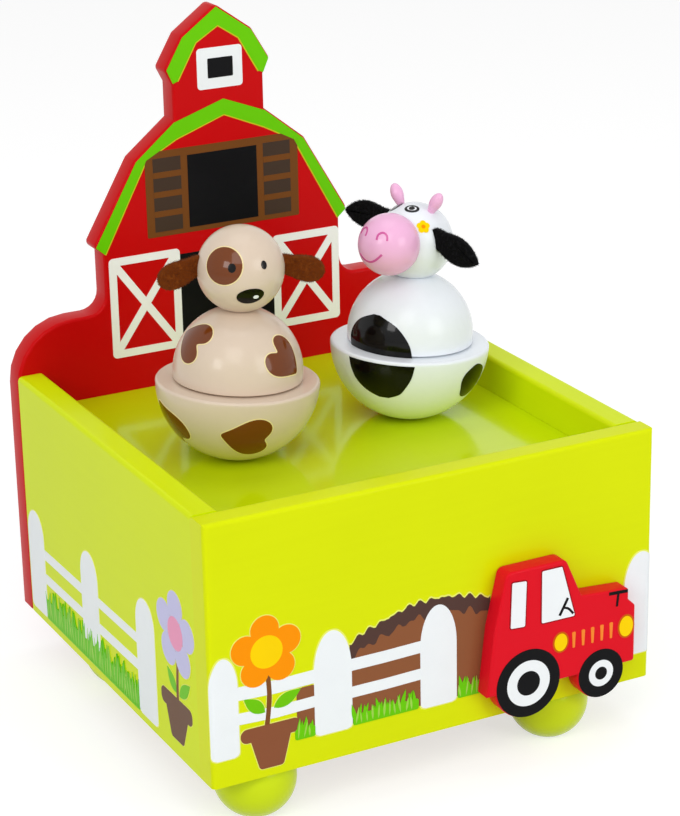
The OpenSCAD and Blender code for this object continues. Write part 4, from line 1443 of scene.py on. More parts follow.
@dataclass(frozen=True)
class Picket:
    """A fence picket with a bullet top.

    Attributes:
        half: half its width.
        height: its height.
        bullet: how much of the height curves in at the top.
        foot: the radius of its lower corners.
    """

    half: float
    height: float
    bullet: float = 8.0
    foot: float = 1.4

    def edge(self, level: float) -> float:
        """Half the width at a height.

        Args:
            level: the height above the picket's foot.

        Returns:
            The half width.
        """
        over = (level - self.height + self.bullet) / self.bullet
        if over > 0:
            return max(0.06, self.half * math.sqrt(max(0.0, 1 - over ** 2)))
        under = max(0.0, self.foot - level)
        return self.half - self.foot + math.sqrt(max(0.0, self.foot ** 2 - under ** 2))

    def draw(self, film: Film, middle: float, low: float, lift: float, more: float = 0.0) -> None:
        """Lay the picket.

        Args:
            film: the ink that takes it.
            middle: where its middle is.
            low: where its foot is.
            lift: how far it stands off the face.
            more: how far it is grown all round, for the edge of a print.
        """
        flat = self.height - self.bullet
        levels = [self.foot * k / 4 for k in range(5)] + [flat * k / 4 for k in range(1, 5)]
        turns = (math.pi / 2 * k / 14 for k in range(1, 15))
        levels = sorted(set(levels)) + [flat + self.bullet * math.sin(t) for t in turns]
        grow = (self.height + 2 * more) / self.height
        rows = [(self.edge(level) + more, low - more + level * grow) for level in levels]
        left, right = ([(middle + sign * half, v) for half, v in rows] for sign in (-1, 1))
        film.ribbon(left, right, lift, 12)


@dataclass(frozen=True)
class PottedFlower:
    """A five-petalled flower in a pot.

    Attributes:
        middle: the flower's middle.
        petal: the petals' colour.
        eye: the colour of the flower's middle.
        start: the angle of the first petal.
        stem: the stem's points from the flower down.
        leaves: each leaf's root and tip.
        rim: the pot's rim as left, low, right and high.
        base: the pot's foot as left, low and right.
        spread: how far the petals' middles stand from the flower's.
        lobe: a petal's radius.
        eye_radius: the radius of the flower's middle.
        halo: how wide the light edge round the print is.
        clay: the pot's colour.
        stem_width, leaf_width: how wide the stem and a leaf are.
        neck: how much narrower the pot is than its rim, and how far it reaches into it.
    """

    middle: Point
    petal: Finish
    eye: Finish
    start: float
    stem: Path
    leaves: tuple[tuple[Point, Point], ...]
    rim: Box
    base: Corner
    spread: float = 5.6
    lobe: float = 3.6
    eye_radius: float = 4.1
    halo: float = 0.22
    clay: Finish = POT
    stem_width: float = 1.2
    leaf_width: float = 3.2
    neck: Point = (2.4, 0.8)

    def draw(self, sheet: Print, name: str) -> None:
        """Lay the pot, stem, leaves and flower.

        Args:
            sheet: the print that takes them.
            name: what the repeated piece is called.
        """
        self.draw_pot(sheet)
        path = eased(self.stem)
        sheet.film(STEM).stroke(path, self.stem_width, 0.14)
        sheet.film(HALO).stroke(path, self.stem_width + 2 * self.halo, 0.076)
        for level, (root, tip) in enumerate(self.leaves):
            outline = leaf(root, tip, self.leaf_width)
            sheet.lay((LEAF, outline, 0.175 + 0.005 * level),
                      (HALO, grown(outline, self.halo), 0.068 + 0.003 * level))
        for more, lift, ink, part in ((0.0, 0.19, self.petal, "petals"),
                                      (self.halo, 0.1, HALO, "petal_edge")):
            lobe = oval((self.spread, 0.0), self.lobe * 0.98 + more, self.lobe + more, 32)
            sheet.repeat(f"{name}_{part}", ink, sheet.shop.whorl, lambda film: film.plate(lobe, lift),
                         self.middle,
                         {"Count": 5, "Start": math.radians(self.start), "Rise": (0.0, 0.0, 0.006)})
        sheet.lay((self.eye, oval(self.middle, self.eye_radius, self.eye_radius), 0.23))

    def draw_pot(self, sheet: Print) -> None:
        """Lay the pot and its rim, both with a light edge.

        Args:
            sheet: the print that takes them.
        """
        left, low, right, high = self.rim
        foot_left, foot, foot_right = self.base
        inset, lap = self.neck
        pot = rounded([(foot_left, foot, 1.0), (foot_right, foot, 1.0), (right - inset, low + lap, 0.3),
                       (left + inset, low + lap, 0.3)])
        edge = sheet.film(HALO)
        for level, outline in enumerate((pot, box_outline(left, low, right, high, 1.7))):
            sheet.film(self.clay).plate(outline, 0.16 + 0.01 * level)
            edge.plate(grown(outline, self.halo), 0.08 + 0.004 * level)


@dataclass
class Meadow:
    """Grass with a full foot and ragged blades.

    Attributes:
        left, right: where it begins and ends.
        low: its lower edge.
        full: how high it is filled.
        tall: how long its longest blades are.
        seed: what its blades' lean and length are drawn from.
        margin: how far its outer blades stand from its ends.
    """

    left: float
    right: float
    low: float
    full: float
    tall: float
    seed: int
    margin: float = 0.7

    def draw(self, sheet: Print, name: str) -> None:
        """Lay the filled foot and two rows of blades.

        Args:
            sheet: the print that takes them.
            name: what the repeated pieces are called.
        """
        sheet.lay((GRASS, box_outline(self.left, self.low, self.right, self.full, 0.5), 0.21))
        rise = self.low + 0.3
        for ink, width, pitch, tall, lift, seed, part in (
                (GRASS, 1.05, 0.66, self.tall, 0.22, self.seed, "blades"),
                (GRASS_LIGHT, 0.5, 1.5, self.tall * 0.92, 0.25, self.seed + 40, "light_blades")):
            outline = leaf((0.0, 0.0), (0.15, tall + self.full - rise - 2.0), width, 6)
            count = max(2, int((self.right - self.left - 2 * self.margin) / pitch) + 1)
            sheet.repeat(f"{name}_{part}", ink, sheet.shop.tuft, lambda film: film.plate(outline, lift),
                         (self.left + self.margin, rise),
                         {"Count": count, "Pitch": (pitch, 0.0, 0.0006), "Lean": 0.26, "Shortest": 0.5,
                          "Seed": seed})


@dataclass
class FrontPrint(Assembly):
    """Fence, earth, grass and a potted flower printed on the box's front.

    Attributes:
        pitch: the distance between the three even pickets.
        first: the middle of the first of them.
        foot: how high the pickets begin.
        picket: their shape.
        ends: the middles and shapes of the pickets by the corners.
        rails: each rail as left, low, right and high.
        sags: how much higher each rail's left end lies.
        earth: the earth's upper edge.
        clod: the earth between the flower and the first rail's end.
        tufts: where each patch of grass begins and ends.
        flower: the potted flower.
    """

    pitch: float = 28.25
    first: float = -28.5
    foot: float = 7.0
    picket: Picket = Picket(half=4.95, height=26.3, bullet=10.5)
    ends: tuple[tuple[float, Picket], ...] = (
        (-56.5, Picket(half=3.55, height=25.6, bullet=8.0)),
        (57.2, Picket(half=5.0, height=27.4, bullet=10.0)))
    rails: tuple[Box, ...] = (
        (-53.6, 20.8, -33.0, 24.2), (-53.6, 14.6, -33.0, 17.5), (-24.2, 21.7, -5.0, 24.8),
        (-24.2, 14.7, -5.0, 17.6))
    sags: tuple[float, ...] = (0.5, 0.5, 0.0, 0.0)
    earth: Path = (
        (-24.0, 28.0), (-20.5, 30.2), (-12.5, 32.7), (-7.0, 34.4), (-0.5, 34.5), (4.3, 34.0), (8.0, 33.3),
        (12.5, 32.0))
    clod: Box = (-38.0, 8.5, -33.0, 20.6)
    tufts: Path = ((-38.6, -33.4), (-23.4, -5.8), (5.0, 11.6), (33.4, 51.0))
    flower: PottedFlower = PottedFlower(
        middle=(-45.4, 31.9), petal=ORANGE, eye=YELLOW, start=21.0,
        stem=((-45.4, 29.0), (-45.2, 26.0), (-45.0, 20.0), (-45.8, 13.0)),
        leaves=(((-46.2, 16.7), (-51.5, 21.2)), ((-43.9, 17.3), (-36.9, 20.5))),
        rim=(-52.6, 9.8, -37.2, 13.4), base=(-47.9, 2.2, -41.8))

    def ridge(self, u: float) -> float:
        """The height of the earth's crumbly top at u.

        Args:
            u: the place along the front.

        Returns:
            The height.
        """
        for (a, low), (b, high) in zip(self.earth, self.earth[1:]):
            if u <= b:
                break
        plain = low + (high - low) * (u - a) / (b - a)
        return plain + 0.85 * abs(math.sin(u * 0.93)) + 0.3 * math.sin(u * 2.3 + 1)

    def build(self) -> None:
        """Lay the whole print."""
        sheet = Print(self.shop, FrontFace())
        self.draw_earth(sheet)
        for (left, low, right, high), sag in zip(self.rails, self.sags):
            middle = (left + right) / 2
            sheet.film(FENCE_WHITE).ribbon([(left, low + sag), (middle, low), (right, low + 0.2)],
                                           [(left, high + sag), (middle, high), (right, high + 0.2)], 0.13)
        for more, lift, ink, part in ((0.0, 0.18, FENCE_WHITE, "pickets"), (0.3, 0.09, HALO, "picket_edge")):
            sheet.repeat(part, ink, self.shop.row, lambda film: self.picket.draw(film, 0.0, 0.0, lift, more),
                         (self.first, self.foot), {"Count": 3, "Pitch": (self.pitch, 0.0, 0.0)})
            for middle, end in self.ends:
                end.draw(sheet.film(ink), middle, self.foot, lift + 0.005, more)
        for number, (left, right) in enumerate(self.tufts, 1):
            grass = Meadow(left, right, low=7.4, full=10.2, tall=5.4, seed=10 + number)
            grass.draw(sheet, f"grass_{number}")
        self.flower.draw(sheet, "flower")
        sheet.hand_over("front", "case")

    def draw_earth(self, sheet: Print) -> None:
        """Lay the earth behind the fence and its dark top.

        Args:
            sheet: the print that takes them.
        """
        steps = [self.earth[0][0] + 0.5 * k for k in range(77)]
        top = [(u, self.ridge(u)) for u in steps]
        seam = [(u, self.ridge(u) - 3.9 - 0.6 * math.sin(u * 1.3)) for u in steps]
        sheet.film(EARTH).ribbon([(u, 8.0) for u in steps], seam, 0.1)
        sheet.film(CRUMB).ribbon(seam, top, 0.12)
        sheet.film(HALO).ribbon(seam, [(u, v + 0.4) for u, v in top], 0.07)
        sheet.lay((EARTH, box_outline(*self.clod, 0.8), 0.1))


@dataclass
class SidePrint(Assembly):
    """Fence, grass and a potted flower printed on one side of the box.

    Attributes:
        side: -1 for the left side, 1 for the right.
        pickets: each picket's middle and height.
        foot: how high the pickets begin.
        rails: each rail as left, low, right and high.
        flower: the potted flower.
    """

    side: int
    pickets: Path = ((6.3, 28.6), (42.9, 30.8), (78.0, 31.8))
    foot: float = 2.2
    rails: tuple[Box, ...] = (
        (11.0, 19.0, 38.0, 21.8), (11.0, 12.2, 38.0, 15.0), (47.5, 20.0, 73.0, 22.6),
        (47.5, 12.8, 73.0, 15.6))
    flower: PottedFlower = PottedFlower(
        middle=(96.3, 32.6), petal=LAVENDER, eye=PINK_INK, start=16.0,
        stem=((96.6, 29.0), (96.8, 26.0), (96.2, 20.0), (96.0, 15.0)),
        leaves=(((95.5, 17.0), (90.6, 22.0)), ((97.2, 16.8), (103.4, 22.0))),
        rim=(86.4, 11.4, 104.0, 15.6), base=(91.6, 4.2, 98.4), spread=6.8, lobe=4.1, eye_radius=4.2, halo=0.2,
        clay=POT_DARK)

    def face(self) -> FlatFace:
        """The side's face; on both sides u runs from the viewer's left to the right."""
        origin = Vector((self.side * HALF_WIDTH, -self.side * BARN_FRONT, FLOOR_OF_BOX))
        return FlatFace(origin, Vector((0, self.side, 0)), Vector((0, 0, 1)))

    def build(self) -> None:
        """Lay the whole print."""
        sheet = Print(self.shop, self.face())
        for left, low, right, high in self.rails:
            sheet.film(FENCE_WHITE).ribbon([(left, low), (right, low + 0.4)],
                                           [(left, high), (right, high + 0.4)], 0.13)
        for middle, height in self.pickets:
            shape = Picket(half=5.5, height=height, bullet=7.0)
            shape.draw(sheet.film(FENCE_WHITE), middle, self.foot, 0.18)
            shape.draw(sheet.film(HALO), middle, self.foot, 0.09, 0.25)
        Meadow(left=11.4, right=72.4, low=2.2, full=7.6, tall=6.9, seed=31).draw(sheet, "grass")
        self.flower.draw(sheet, "flower")
        sheet.hand_over("left" if self.side < 0 else "right", "case")


# The cut-out boards


@dataclass
class Board(Assembly):
    """A cut-out board that stands upright and is painted on its front.

    Attributes:
        front: where its front face lies.
        thick: its thickness.
        edge: the radius along its edges.
    """

    front: float
    thick: float
    edge: float

    def cut(self, node: str, outline: Sequence[Point], finish: Finish) -> Print:
        """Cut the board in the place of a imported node.

        Args:
            node: the node's name.
            outline: anticlockwise points (u, v), seen from the front.
            finish: what the board is painted with.

        Returns:
            The print on its front, still without ink.
        """
        foot = Vector((0, self.front, FLOOR_OF_BOX))
        shell = Shell()
        shell.slab(outline, self.thick, self.edge, Matrix.Translation(foot) @ ON_EDGE)
        self.shop.piece("painted_" + node, shell.mesh(node), finish, "case", node, "red_paint")
        return Print(self.shop, FlatFace(foot, Vector((1, 0, 0)), Vector((0, 0, 1))))


@dataclass
class Barn(Board):
    """The barn cut from a board, which is the box's back wall too.

    Attributes:
        peak: the corner at the top as (u, v, radius).
        half_outline: the right half's corners from the foot to just under the peak.
        roofs: each roof band's outer and inner edge, from its left foot to the middle.
        panels: flat prints as colour, box, corner radius and lift.
        shutters: each shutter's name, left and right edge.
        slats: the lowest slat's height, the pitch and half the height of a slat.
        doors: each door as left, low, right and high.
        bar: how wide the doors' bars are.
    """

    front: float = BARN_FRONT
    thick: float = 7.0
    edge: float = 0.8
    peak: Corner = (0.0, 156.6, 1.5)
    half_outline: tuple[Corner, ...] = (
        (60, 0, 0), (60, 79, 16), (34.4, 79, 5), (34.4, 95, 0), (37, 97.08, 1.5), (24.5, 118.5, 1.5),
        (13, 127.7, 0), (13, 137, 0), (15, 141, 1.5), (10, 149.4, 1.5))
    roofs: tuple[tuple[Path, Path], ...] = (
        (((-12.9, 137.4), (-14.5, 141.0), (-9.75, 149.05), (0.0, 156.0)),
         ((-11.6, 137.9), (-10.6, 139.6), (-6.1, 147.4), (0.3, 151.2))),
        (((-36.4, 97.0), (-24.15, 118.2), (-13.05, 127.2), (1.2, 131.8)),
         ((-34.0, 94.9), (-21.3, 118.3), (-12.6, 122.9), (1.2, 127.7))))
    panels: tuple[tuple[Finish, Box, float, float], ...] = (
        (WHITE_INK, (-6.0, 134.8, 6.9, 145.6), 1.0, 0.09), (BLACK_INK, (-3.0, 137.6, 4.2, 142.8), 0.3, 0.13),
        (SHUTTER, (-21.8, 97.4, 22.3, 120.3), 0.4, 0.09), (BLACK_INK, (-9.8, 98.7, 10.2, 118.2), 0.0, 0.14),
        (SHUTTER_DARK, (-19.6, 98.7, -11.7, 118.4), 0.0, 0.12),
        (SHUTTER_DARK, (12.1, 98.7, 20.0, 118.4), 0.0, 0.12),
        (BLACK_INK, (-13.4, 64.0, 14.2, 91.8), 0.0, 0.09))
    shutters: tuple[tuple[str, float, float], ...] = (("left", -19.6, -11.7), ("right", 12.1, 20.0))
    slats: Corner = (103.5, 5.2, 0.8)
    doors: tuple[Box, ...] = ((-33.2, 66.2, -13.0, 93.5), (14.2, 66.6, 34.0, 92.6))
    bar: float = 2.1

    def build(self) -> None:
        """Cut the board and paint it."""
        corners = [*self.half_outline, self.peak] + [(-u, v, r) for u, v, r in reversed(self.half_outline)]
        sheet = self.cut("barn_board", rounded(corners), BARN_RED_SHADED)
        for edges in self.roofs:
            outer, inner = ([*side, *((-u, v) for u, v in reversed(side[:-1]))] for side in edges)
            sheet.film(ROOF).ribbon(outer, inner, 0.12)
            sheet.film(ROOF_EDGE).stroke(inner, 0.6, 0.07)
        sheet.lay(*((ink, box_outline(*box, radius), lift) for ink, box, radius, lift in self.panels))
        low, pitch, half = self.slats
        for name, left, right in self.shutters:
            slat = box_outline(left, -half, right, half, 0.2)
            sheet.repeat(f"{name}_shutter_slats", SHUTTER, self.shop.row,
                         lambda film: film.plate(slat, 0.16), (0.0, low),
                         {"Count": 3, "Pitch": (0.0, pitch, 0.0)})
        self.draw_doors(sheet.film(DOOR_WHITE_LIT))
        sheet.hand_over("barn", "case")

    def draw_doors(self, ink: Film) -> None:
        """Lay both crossed doors.

        Args:
            ink: the film that takes them.
        """
        bar, half = self.bar, self.bar / 2
        for left, low, right, high in self.doors:
            inner = box_outline(left + bar, low + bar, right - bar, high - bar, 0.3)
            ink.ribbon(box_outline(left, low, right, high, 1.2), inner, 0.14, 1, True)
            ink.stroke([(left + half, low + half), (right - half, high - half)], bar, 0.13)
            ink.stroke([(left + half, high - half), (right - half, low + half)], bar, 0.12)


@dataclass
class Tractor(Board):
    """The tractor cut from a board and glued on the front.

    Attributes:
        toe: the lower left corner.
        body: the corners above the wheels as (u, v, radius).
        wheels: each wheel's middle, radius, ring radius and hub radius.
        panes: the cab windows' corners.
        steering: the steering wheel's curves as points, width and lift.
        exhaust: the exhaust's lines, likewise.
        lamps: each lamp's middle and half sizes.
        bars: the first grille bar's place, their pitch and their count.
        bar: a grille bar's corners as (u, v, radius).
    """

    front: float = -63.0
    thick: float = 5.0
    edge: float = 0.6
    toe: Point = (10.4, 8.0)
    body: tuple[Corner, ...] = (
        (52.4, 8, 0.8), (52.4, 23, 0.8), (50.4, 25, 0.8), (50.4, 28, 0.8), (36.9, 29, 0.8), (32.3, 39.5, 2),
        (15.8, 39.5, 2), (12.4, 25, 2))
    wheels: tuple[tuple[float, float, float, float, float], ...] = (
        (21.8, 9.4, 9.1, 6.0, 3.2), (42.6, 7.0, 6.6, 3.5, 1.7))
    panes: tuple[tuple[Corner, ...], ...] = (
        ((16.7, 25.0, 0.4), (20.7, 24.7, 0.4), (21.1, 36.5, 0.4), (17.1, 36.8, 0.4)),
        ((25.4, 24.4, 0.4), (34.8, 24.3, 0.4), (31.0, 38.0, 0.4), (25.4, 38.0, 0.4)))
    steering: tuple[Line, ...] = (
        (((32.7, 29.5), (31.8, 27.8), (30.4, 25.3)), 0.75, 0.17),
        (((31.4, 27.2), (32.9, 26.6), (34.3, 25.0)), 0.6, 0.165))
    exhaust: tuple[Line, ...] = (
        (((44.6, 27.7), (50.0, 27.4)), 0.8, 0.12), (((47.3, 27.6), (46.9, 23.9)), 0.6, 0.115))
    lamps: tuple[tuple[Point, float, float], ...] = (((30.9, 18.1), 1.8, 2.3), ((49.7, 18.0), 1.95, 2.7))
    bars: tuple[Point, float, int] = ((34.6, 15.8), 2.68, 5)
    bar: tuple[Corner, ...] = ((-0.3, 0, 0.2), (0.3, 0, 0.2), (0.5, 4.2, 0.3), (-0.5, 4.2, 0.3))

    def outline(self) -> list[Point]:
        """The board's outline, body and wheels in one.

        Returns:
            The points, anticlockwise from the lower left corner.
        """
        made: list[Point] = [self.toe]
        for u, v, radius, _, _ in self.wheels:
            dip = math.asin((v - self.toe[1]) / radius)
            for k in range(29):
                angle = dip - math.pi + (math.pi - 2 * dip) * k / 28
                made.append((u + radius * math.cos(angle), v + radius * math.sin(angle)))
        return made + rounded([(*self.toe, 0.0), *self.body])[1:]

    def build(self) -> None:
        """Cut the board and paint it."""
        sheet = self.cut("tractor", self.outline(), TRACTOR_RED)
        for u, v, radius, ring, hub in self.wheels:
            sheet.lay((BLACK_INK, oval((u, v), radius - 0.2, radius - 0.2, 72), 0.09),
                      (WHITE_INK, oval((u, v), ring, ring, 56), 0.13),
                      (BLACK_INK, oval((u, v), hub, hub), 0.17))
        for pane in map(rounded, self.panes):
            sheet.lay((WHITE_INK, pane, 0.13), (DARK_RED, grown(pane, 0.3), 0.09))
        for points, width, lift in self.steering:
            sheet.film(BLACK_INK).stroke(eased(points), width, lift)
        for points, width, lift in self.exhaust:
            sheet.film(BLACK_INK).stroke(points, width, lift)
        for middle, wide, high in self.lamps:
            sheet.lay((LAMP_EDGE, oval(middle, wide + 0.45, high + 0.45), 0.09),
                      (YELLOW, oval(middle, wide, high), 0.13))
        first, pitch, count = self.bars
        bar = rounded(self.bar)
        sheet.repeat("grille_bars", GRILLE, self.shop.row, lambda film: film.plate(bar, 0.12), first,
                     {"Count": count, "Pitch": (pitch, 0.0, 0.0)})
        sheet.hand_over("tractor", "case")


# The figures


@dataclass(frozen=True)
class Ear:
    """A felt ear.

    Attributes:
        long: its length past the head.
        wide: its greatest width.
        belly: where it is widest, as a share of its length.
        tip: how pointed it is, from 0.5 for round to 1.
        root: how high it starts over the middle of the head, in degrees.
        droop: how far it hangs, in degrees.
        uneven: how much more the left ear hangs.
        ahead: how far the left ear sits ahead of the head's middle.
        lower: how much lower the left ear sits.
        thick: the felt's thickness.
        stalk: half its width at the head.
        edge: the radius along its cut edges.
    """

    long: float
    wide: float
    belly: float
    tip: float
    root: float
    droop: float
    uneven: float
    ahead: float = 0.0
    lower: float = 0.0
    thick: float = 1.8
    stalk: float = 1.7
    edge: float = 0.55

    def outline(self) -> list[Point]:
        """The felt's outline from its root, along +X.

        Returns:
            Its points.
        """
        full, wide_at = self.wide / 2, self.belly * self.long
        half = [(-2.6, -0.3 * self.stalk), (-2.0, -0.68 * self.stalk), (-1.0, -0.94 * self.stalk)]
        for k in range(9):
            swell = math.sin(math.pi / 2 * k / 8) ** 2
            half.append((wide_at * k / 8, -self.stalk - (full - self.stalk) * swell))
        for k in range(1, 10):
            along = math.sin(math.pi / 2 * k / 10)
            half.append((wide_at + (self.long - wide_at) * along, -full * (1 - along ** 2) ** self.tip))
        return [*half, (self.long, 0.0), *((u, -v) for u, v in reversed(half))]


class Ball(Enum):
    """Which of a figure's balls carries a mark."""

    BASE = "base"
    DOME = "dome"
    HEAD = "head"


@dataclass(frozen=True)
class Dot:
    """An oval spot of paint on a head.

    Attributes:
        ink: its colour.
        azimuth, elevation: where on the head it lies.
        wide, high: half its width and half its height.
        lift: how far it stands off the head.
        rings: how many rings of faces it has.
        roll: how far it is turned.
        steps: how many points its edge has.
    """

    ink: Finish
    azimuth: float
    elevation: float
    wide: float
    high: float
    lift: float
    rings: int = 3
    roll: float = 0.0
    steps: int = 40


@dataclass
class Figure(Assembly):
    """An animal turned from wood: half-ball base, domed body and ball head, measured from its foot.

    Attributes:
        name: which animal it is, which is its body's name too.
        spot: where it stands.
        turn: which way it faces.
        neck: how high its head begins.
        head_middle: how high its head's middle lies.
        head_radius: the head's radius.
        ear: its felt ears.
        paint: its main colour.
        paint_slot: the record's slot for that colour.
        felt: what its ears are cut from.
        felt_slot: the record's slot for that felt.
        stand: how high the stage carries it.
        lean: how far it leans to the viewer's right.
        base_radius, base_middle: the half ball's radius, and how high its middle and its flat lie.
        base_rim: the radius along the half ball's rim.
        dome_radius, dome_middle: the body's radius, and how high its middle lies.
        bore, bore_low, bore_in_head: the dowel hole's radius, lower end and depth in the head.
        magnet_radius, magnet_depth: the magnet's recess.
        seam, seam_depth: the height and the depth of the shadow gap under the body.
    """

    name: str
    spot: Point
    turn: float
    neck: float
    head_middle: float
    head_radius: float
    ear: Ear
    paint: Finish
    paint_slot: str
    felt: Finish
    felt_slot: str
    stand: float = 71.1155
    lean: float = 3.6
    base_radius: float = 20.25
    base_middle: float = 19.45
    base_rim: float = 0.7
    dome_radius: float = 16.0
    dome_middle: float = 21.65
    bore: float = 2.53
    bore_low: float = 11.42
    bore_in_head: float = 6.03
    magnet_radius: float = 4.03
    magnet_depth: float = 3.03
    seam: float = 0.35
    seam_depth: float = 1.6

    def __post_init__(self) -> None:
        """Start the figure's paint, and gather its balls as middle and radius."""
        self.sheet = Print(self.shop)
        self.balls = {Ball.BASE: (self.base_middle, self.base_radius),
                      Ball.DOME: (self.dome_middle, self.dome_radius),
                      Ball.HEAD: (self.head_middle, self.head_radius)}

    def place(self) -> Matrix:
        """Where the figure stands, how it leans about its base's middle, and where it faces.

        Returns:
            From the figure's own axes to the part's.
        """
        up = Matrix.Translation((*self.spot, self.stand + self.base_middle))
        down = Matrix.Translation((0, 0, -self.base_middle))
        return up @ tilted(self.lean, "Y") @ down @ tilted(self.turn, "Z")

    def build(self) -> None:
        """Turn the wooden pieces, cut the ears and paint the animal."""
        for part, profile, loop in (("base", self.base_profile(), False), ("body", self.body_profile(), True),
                                    ("head", self.head_profile(), False)):
            self.shop.turned(f"{self.name}_{part}", profile, self.place(), self.paint, self.name,
                             self.paint_slot, loop)
        self.cut_ears()
        self.paint_figure()
        self.sheet.hand_over(self.name, self.name)

    def base_profile(self) -> list[Point]:
        """The half ball with its magnet's recess, its rim and its bore.

        Returns:
            Points as (radius, height).
        """
        top, rim = self.base_middle, self.base_rim
        foot = arc(self.base_radius, self.base_middle, 0.0, top - rim)
        made = [(0.0, self.magnet_depth), (self.magnet_radius, self.magnet_depth), (self.magnet_radius, 0.0),
                (foot[0][0] - 0.3, 0.0), *foot]
        edge = foot[-1][0] - rim
        made += [(edge + rim * math.cos(a), top - rim + rim * math.sin(a))
                 for a in (math.pi / 2 * k / 6 for k in range(1, 7))]
        return made + [(edge - 0.3, top), (self.bore, top), (self.bore, self.bore_low), (0.0, self.bore_low)]

    def body_profile(self) -> list[Point]:
        """The dome with its bore and the shadow gap under its edge, as a ring.

        Returns:
            Points as (radius, height).
        """
        dome = arc(self.dome_radius, self.dome_middle, self.base_middle + self.seam + 0.2, self.neck)
        inside = dome[0][0] - self.seam_depth
        low, high = self.base_middle, self.base_middle + self.seam
        return [(self.bore, low), (inside, low), (inside, high), (dome[0][0] - 0.25, high), *dome,
                (self.bore, self.neck)]

    def head_profile(self) -> list[Point]:
        """The ball head with its blind bore.

        Returns:
            Points as (radius, height).
        """
        ball = arc(self.head_radius, self.head_middle, self.neck, self.head_middle + self.head_radius)
        deep = self.neck + self.bore_in_head
        return [(0.0, deep), (self.bore, deep), (self.bore, self.neck), *ball[:-1],
                (0.0, self.head_middle + self.head_radius)]

    def cut_ears(self) -> None:
        """Cut both ears from felt and raise their nap."""
        ear = self.ear
        lie = Matrix.Translation((0, -ear.thick / 2, 0)) @ ON_EDGE
        for side, sign, seed in (("left", 1, 5), ("right", -1, 9)):
            shell = Shell()
            shell.slab(ear.outline(), ear.thick, ear.edge, lie)
            napped = self.shop.nap.run(
                shell.mesh("ear", 1.0), self.felt,
                {"Density": 9.0, "Length": 0.5, "Width": 0.05, "Lean": 0.9, "Seed": seed})
            seat = (0, min(0.0, -sign * ear.ahead), self.head_middle - max(0.0, sign * ear.lower))
            napped.transform(Matrix.Scale(MM, 4) @ self.place() @ Matrix.Translation(seat)
                             @ Matrix.Scale(sign, 4, (1, 0, 0)) @ tilted(-ear.root, "Y")
                             @ Matrix.Translation((self.head_radius, 0, 0))
                             @ tilted(ear.root + ear.droop + sign * ear.uneven, "Y"))
            if sign < 0:
                napped.flip_normals()
            node = f"{self.name}_{side}_ear"
            self.shop.piece("felt_" + node, napped, self.felt, self.name, node, self.felt_slot)

    def on(self, ball: Ball, azimuth: float, elevation: float, roll: float = 0.0) -> BallFace:
        """A place on one of the figure's balls."""
        middle, radius = self.balls[ball]
        return BallFace(Vector((0, 0, middle)), radius, azimuth, elevation, roll, self.place())

    def dots(self, *dots: Dot) -> None:
        """Paint spots on the head.

        Args:
            dots: the spots.
        """
        for dot in dots:
            film = self.sheet.film(dot.ink, self.on(Ball.HEAD, dot.azimuth, dot.elevation, dot.roll))
            film.patch(oval((0, 0), dot.wide, dot.high, dot.steps), dot.lift, dot.rings)

    def paint_figure(self) -> None:
        """Paint the animal's own marks; each animal has its own."""
        raise NotImplementedError


@dataclass
class Dog(Figure):
    """The beige dog with brown patches.

    Attributes:
        hearts_on_dome, hearts_on_base: each heart's azimuth, elevation and roll.
        heart_width, base_heart_width: how wide the hearts are.
        eye_patch: the azimuth, elevation and roll of the patch round the eye.
        eye_patch_size: half its width and half its height.
        face: the eyes, the nose and a painted highlight on the nose.
    """

    hearts_on_dome: tuple[Corner, ...] = ((-69, 35.5, 101), (39, 22.5, -42), (122, 30, -40), (-160, 26, 20))
    hearts_on_base: tuple[Corner, ...] = (
        (-1, -29, 98), (-72, -28, 148), (100, -26, 30), (156, -22, 120), (-140, -28, -15))
    heart_width: float = 11.0
    base_heart_width: float = 12.8
    eye_patch: Corner = (-34.0, 16.9, 15)
    eye_patch_size: Point = (4.75, 4.6)
    face: tuple[Dot, ...] = (
        Dot(BLACK_GLOSS, -21.2, 15.1, 0.95, 1.1, 0.17), Dot(BLACK_GLOSS, 23.1, 18.2, 0.75, 1.05, 0.1),
        Dot(BLACK_GLOSS, 5.4, -23.7, 3.4, 2.2, 0.13, rings=6, roll=-8),
        # the white dot on the nose paints a highlight
        Dot(WHITE_INK, 13.2, -24.3, 0.7, 0.5, 0.18, rings=2, steps=20))

    def paint_figure(self) -> None:
        """Paint the hearts, the eyes and the nose."""
        for ball, places, outline in ((Ball.DOME, self.hearts_on_dome, heart(self.heart_width, 1.1)),
                                      (Ball.BASE, self.hearts_on_base, heart(self.base_heart_width))):
            for place in places:
                self.edged(self.on(ball, *place), outline)
        self.edged(self.on(Ball.HEAD, *self.eye_patch), oval((0, 0), *self.eye_patch_size))
        self.dots(*self.face)

    def edged(self, face: Face, outline: Sequence[Point]) -> None:
        """Paint a brown patch with a thin light edge."""
        self.sheet.film(PATCH_BROWN, face).patch(outline, 0.12)
        self.sheet.film(PATCH_EDGE, face).patch(grown(outline, 0.3), 0.07)


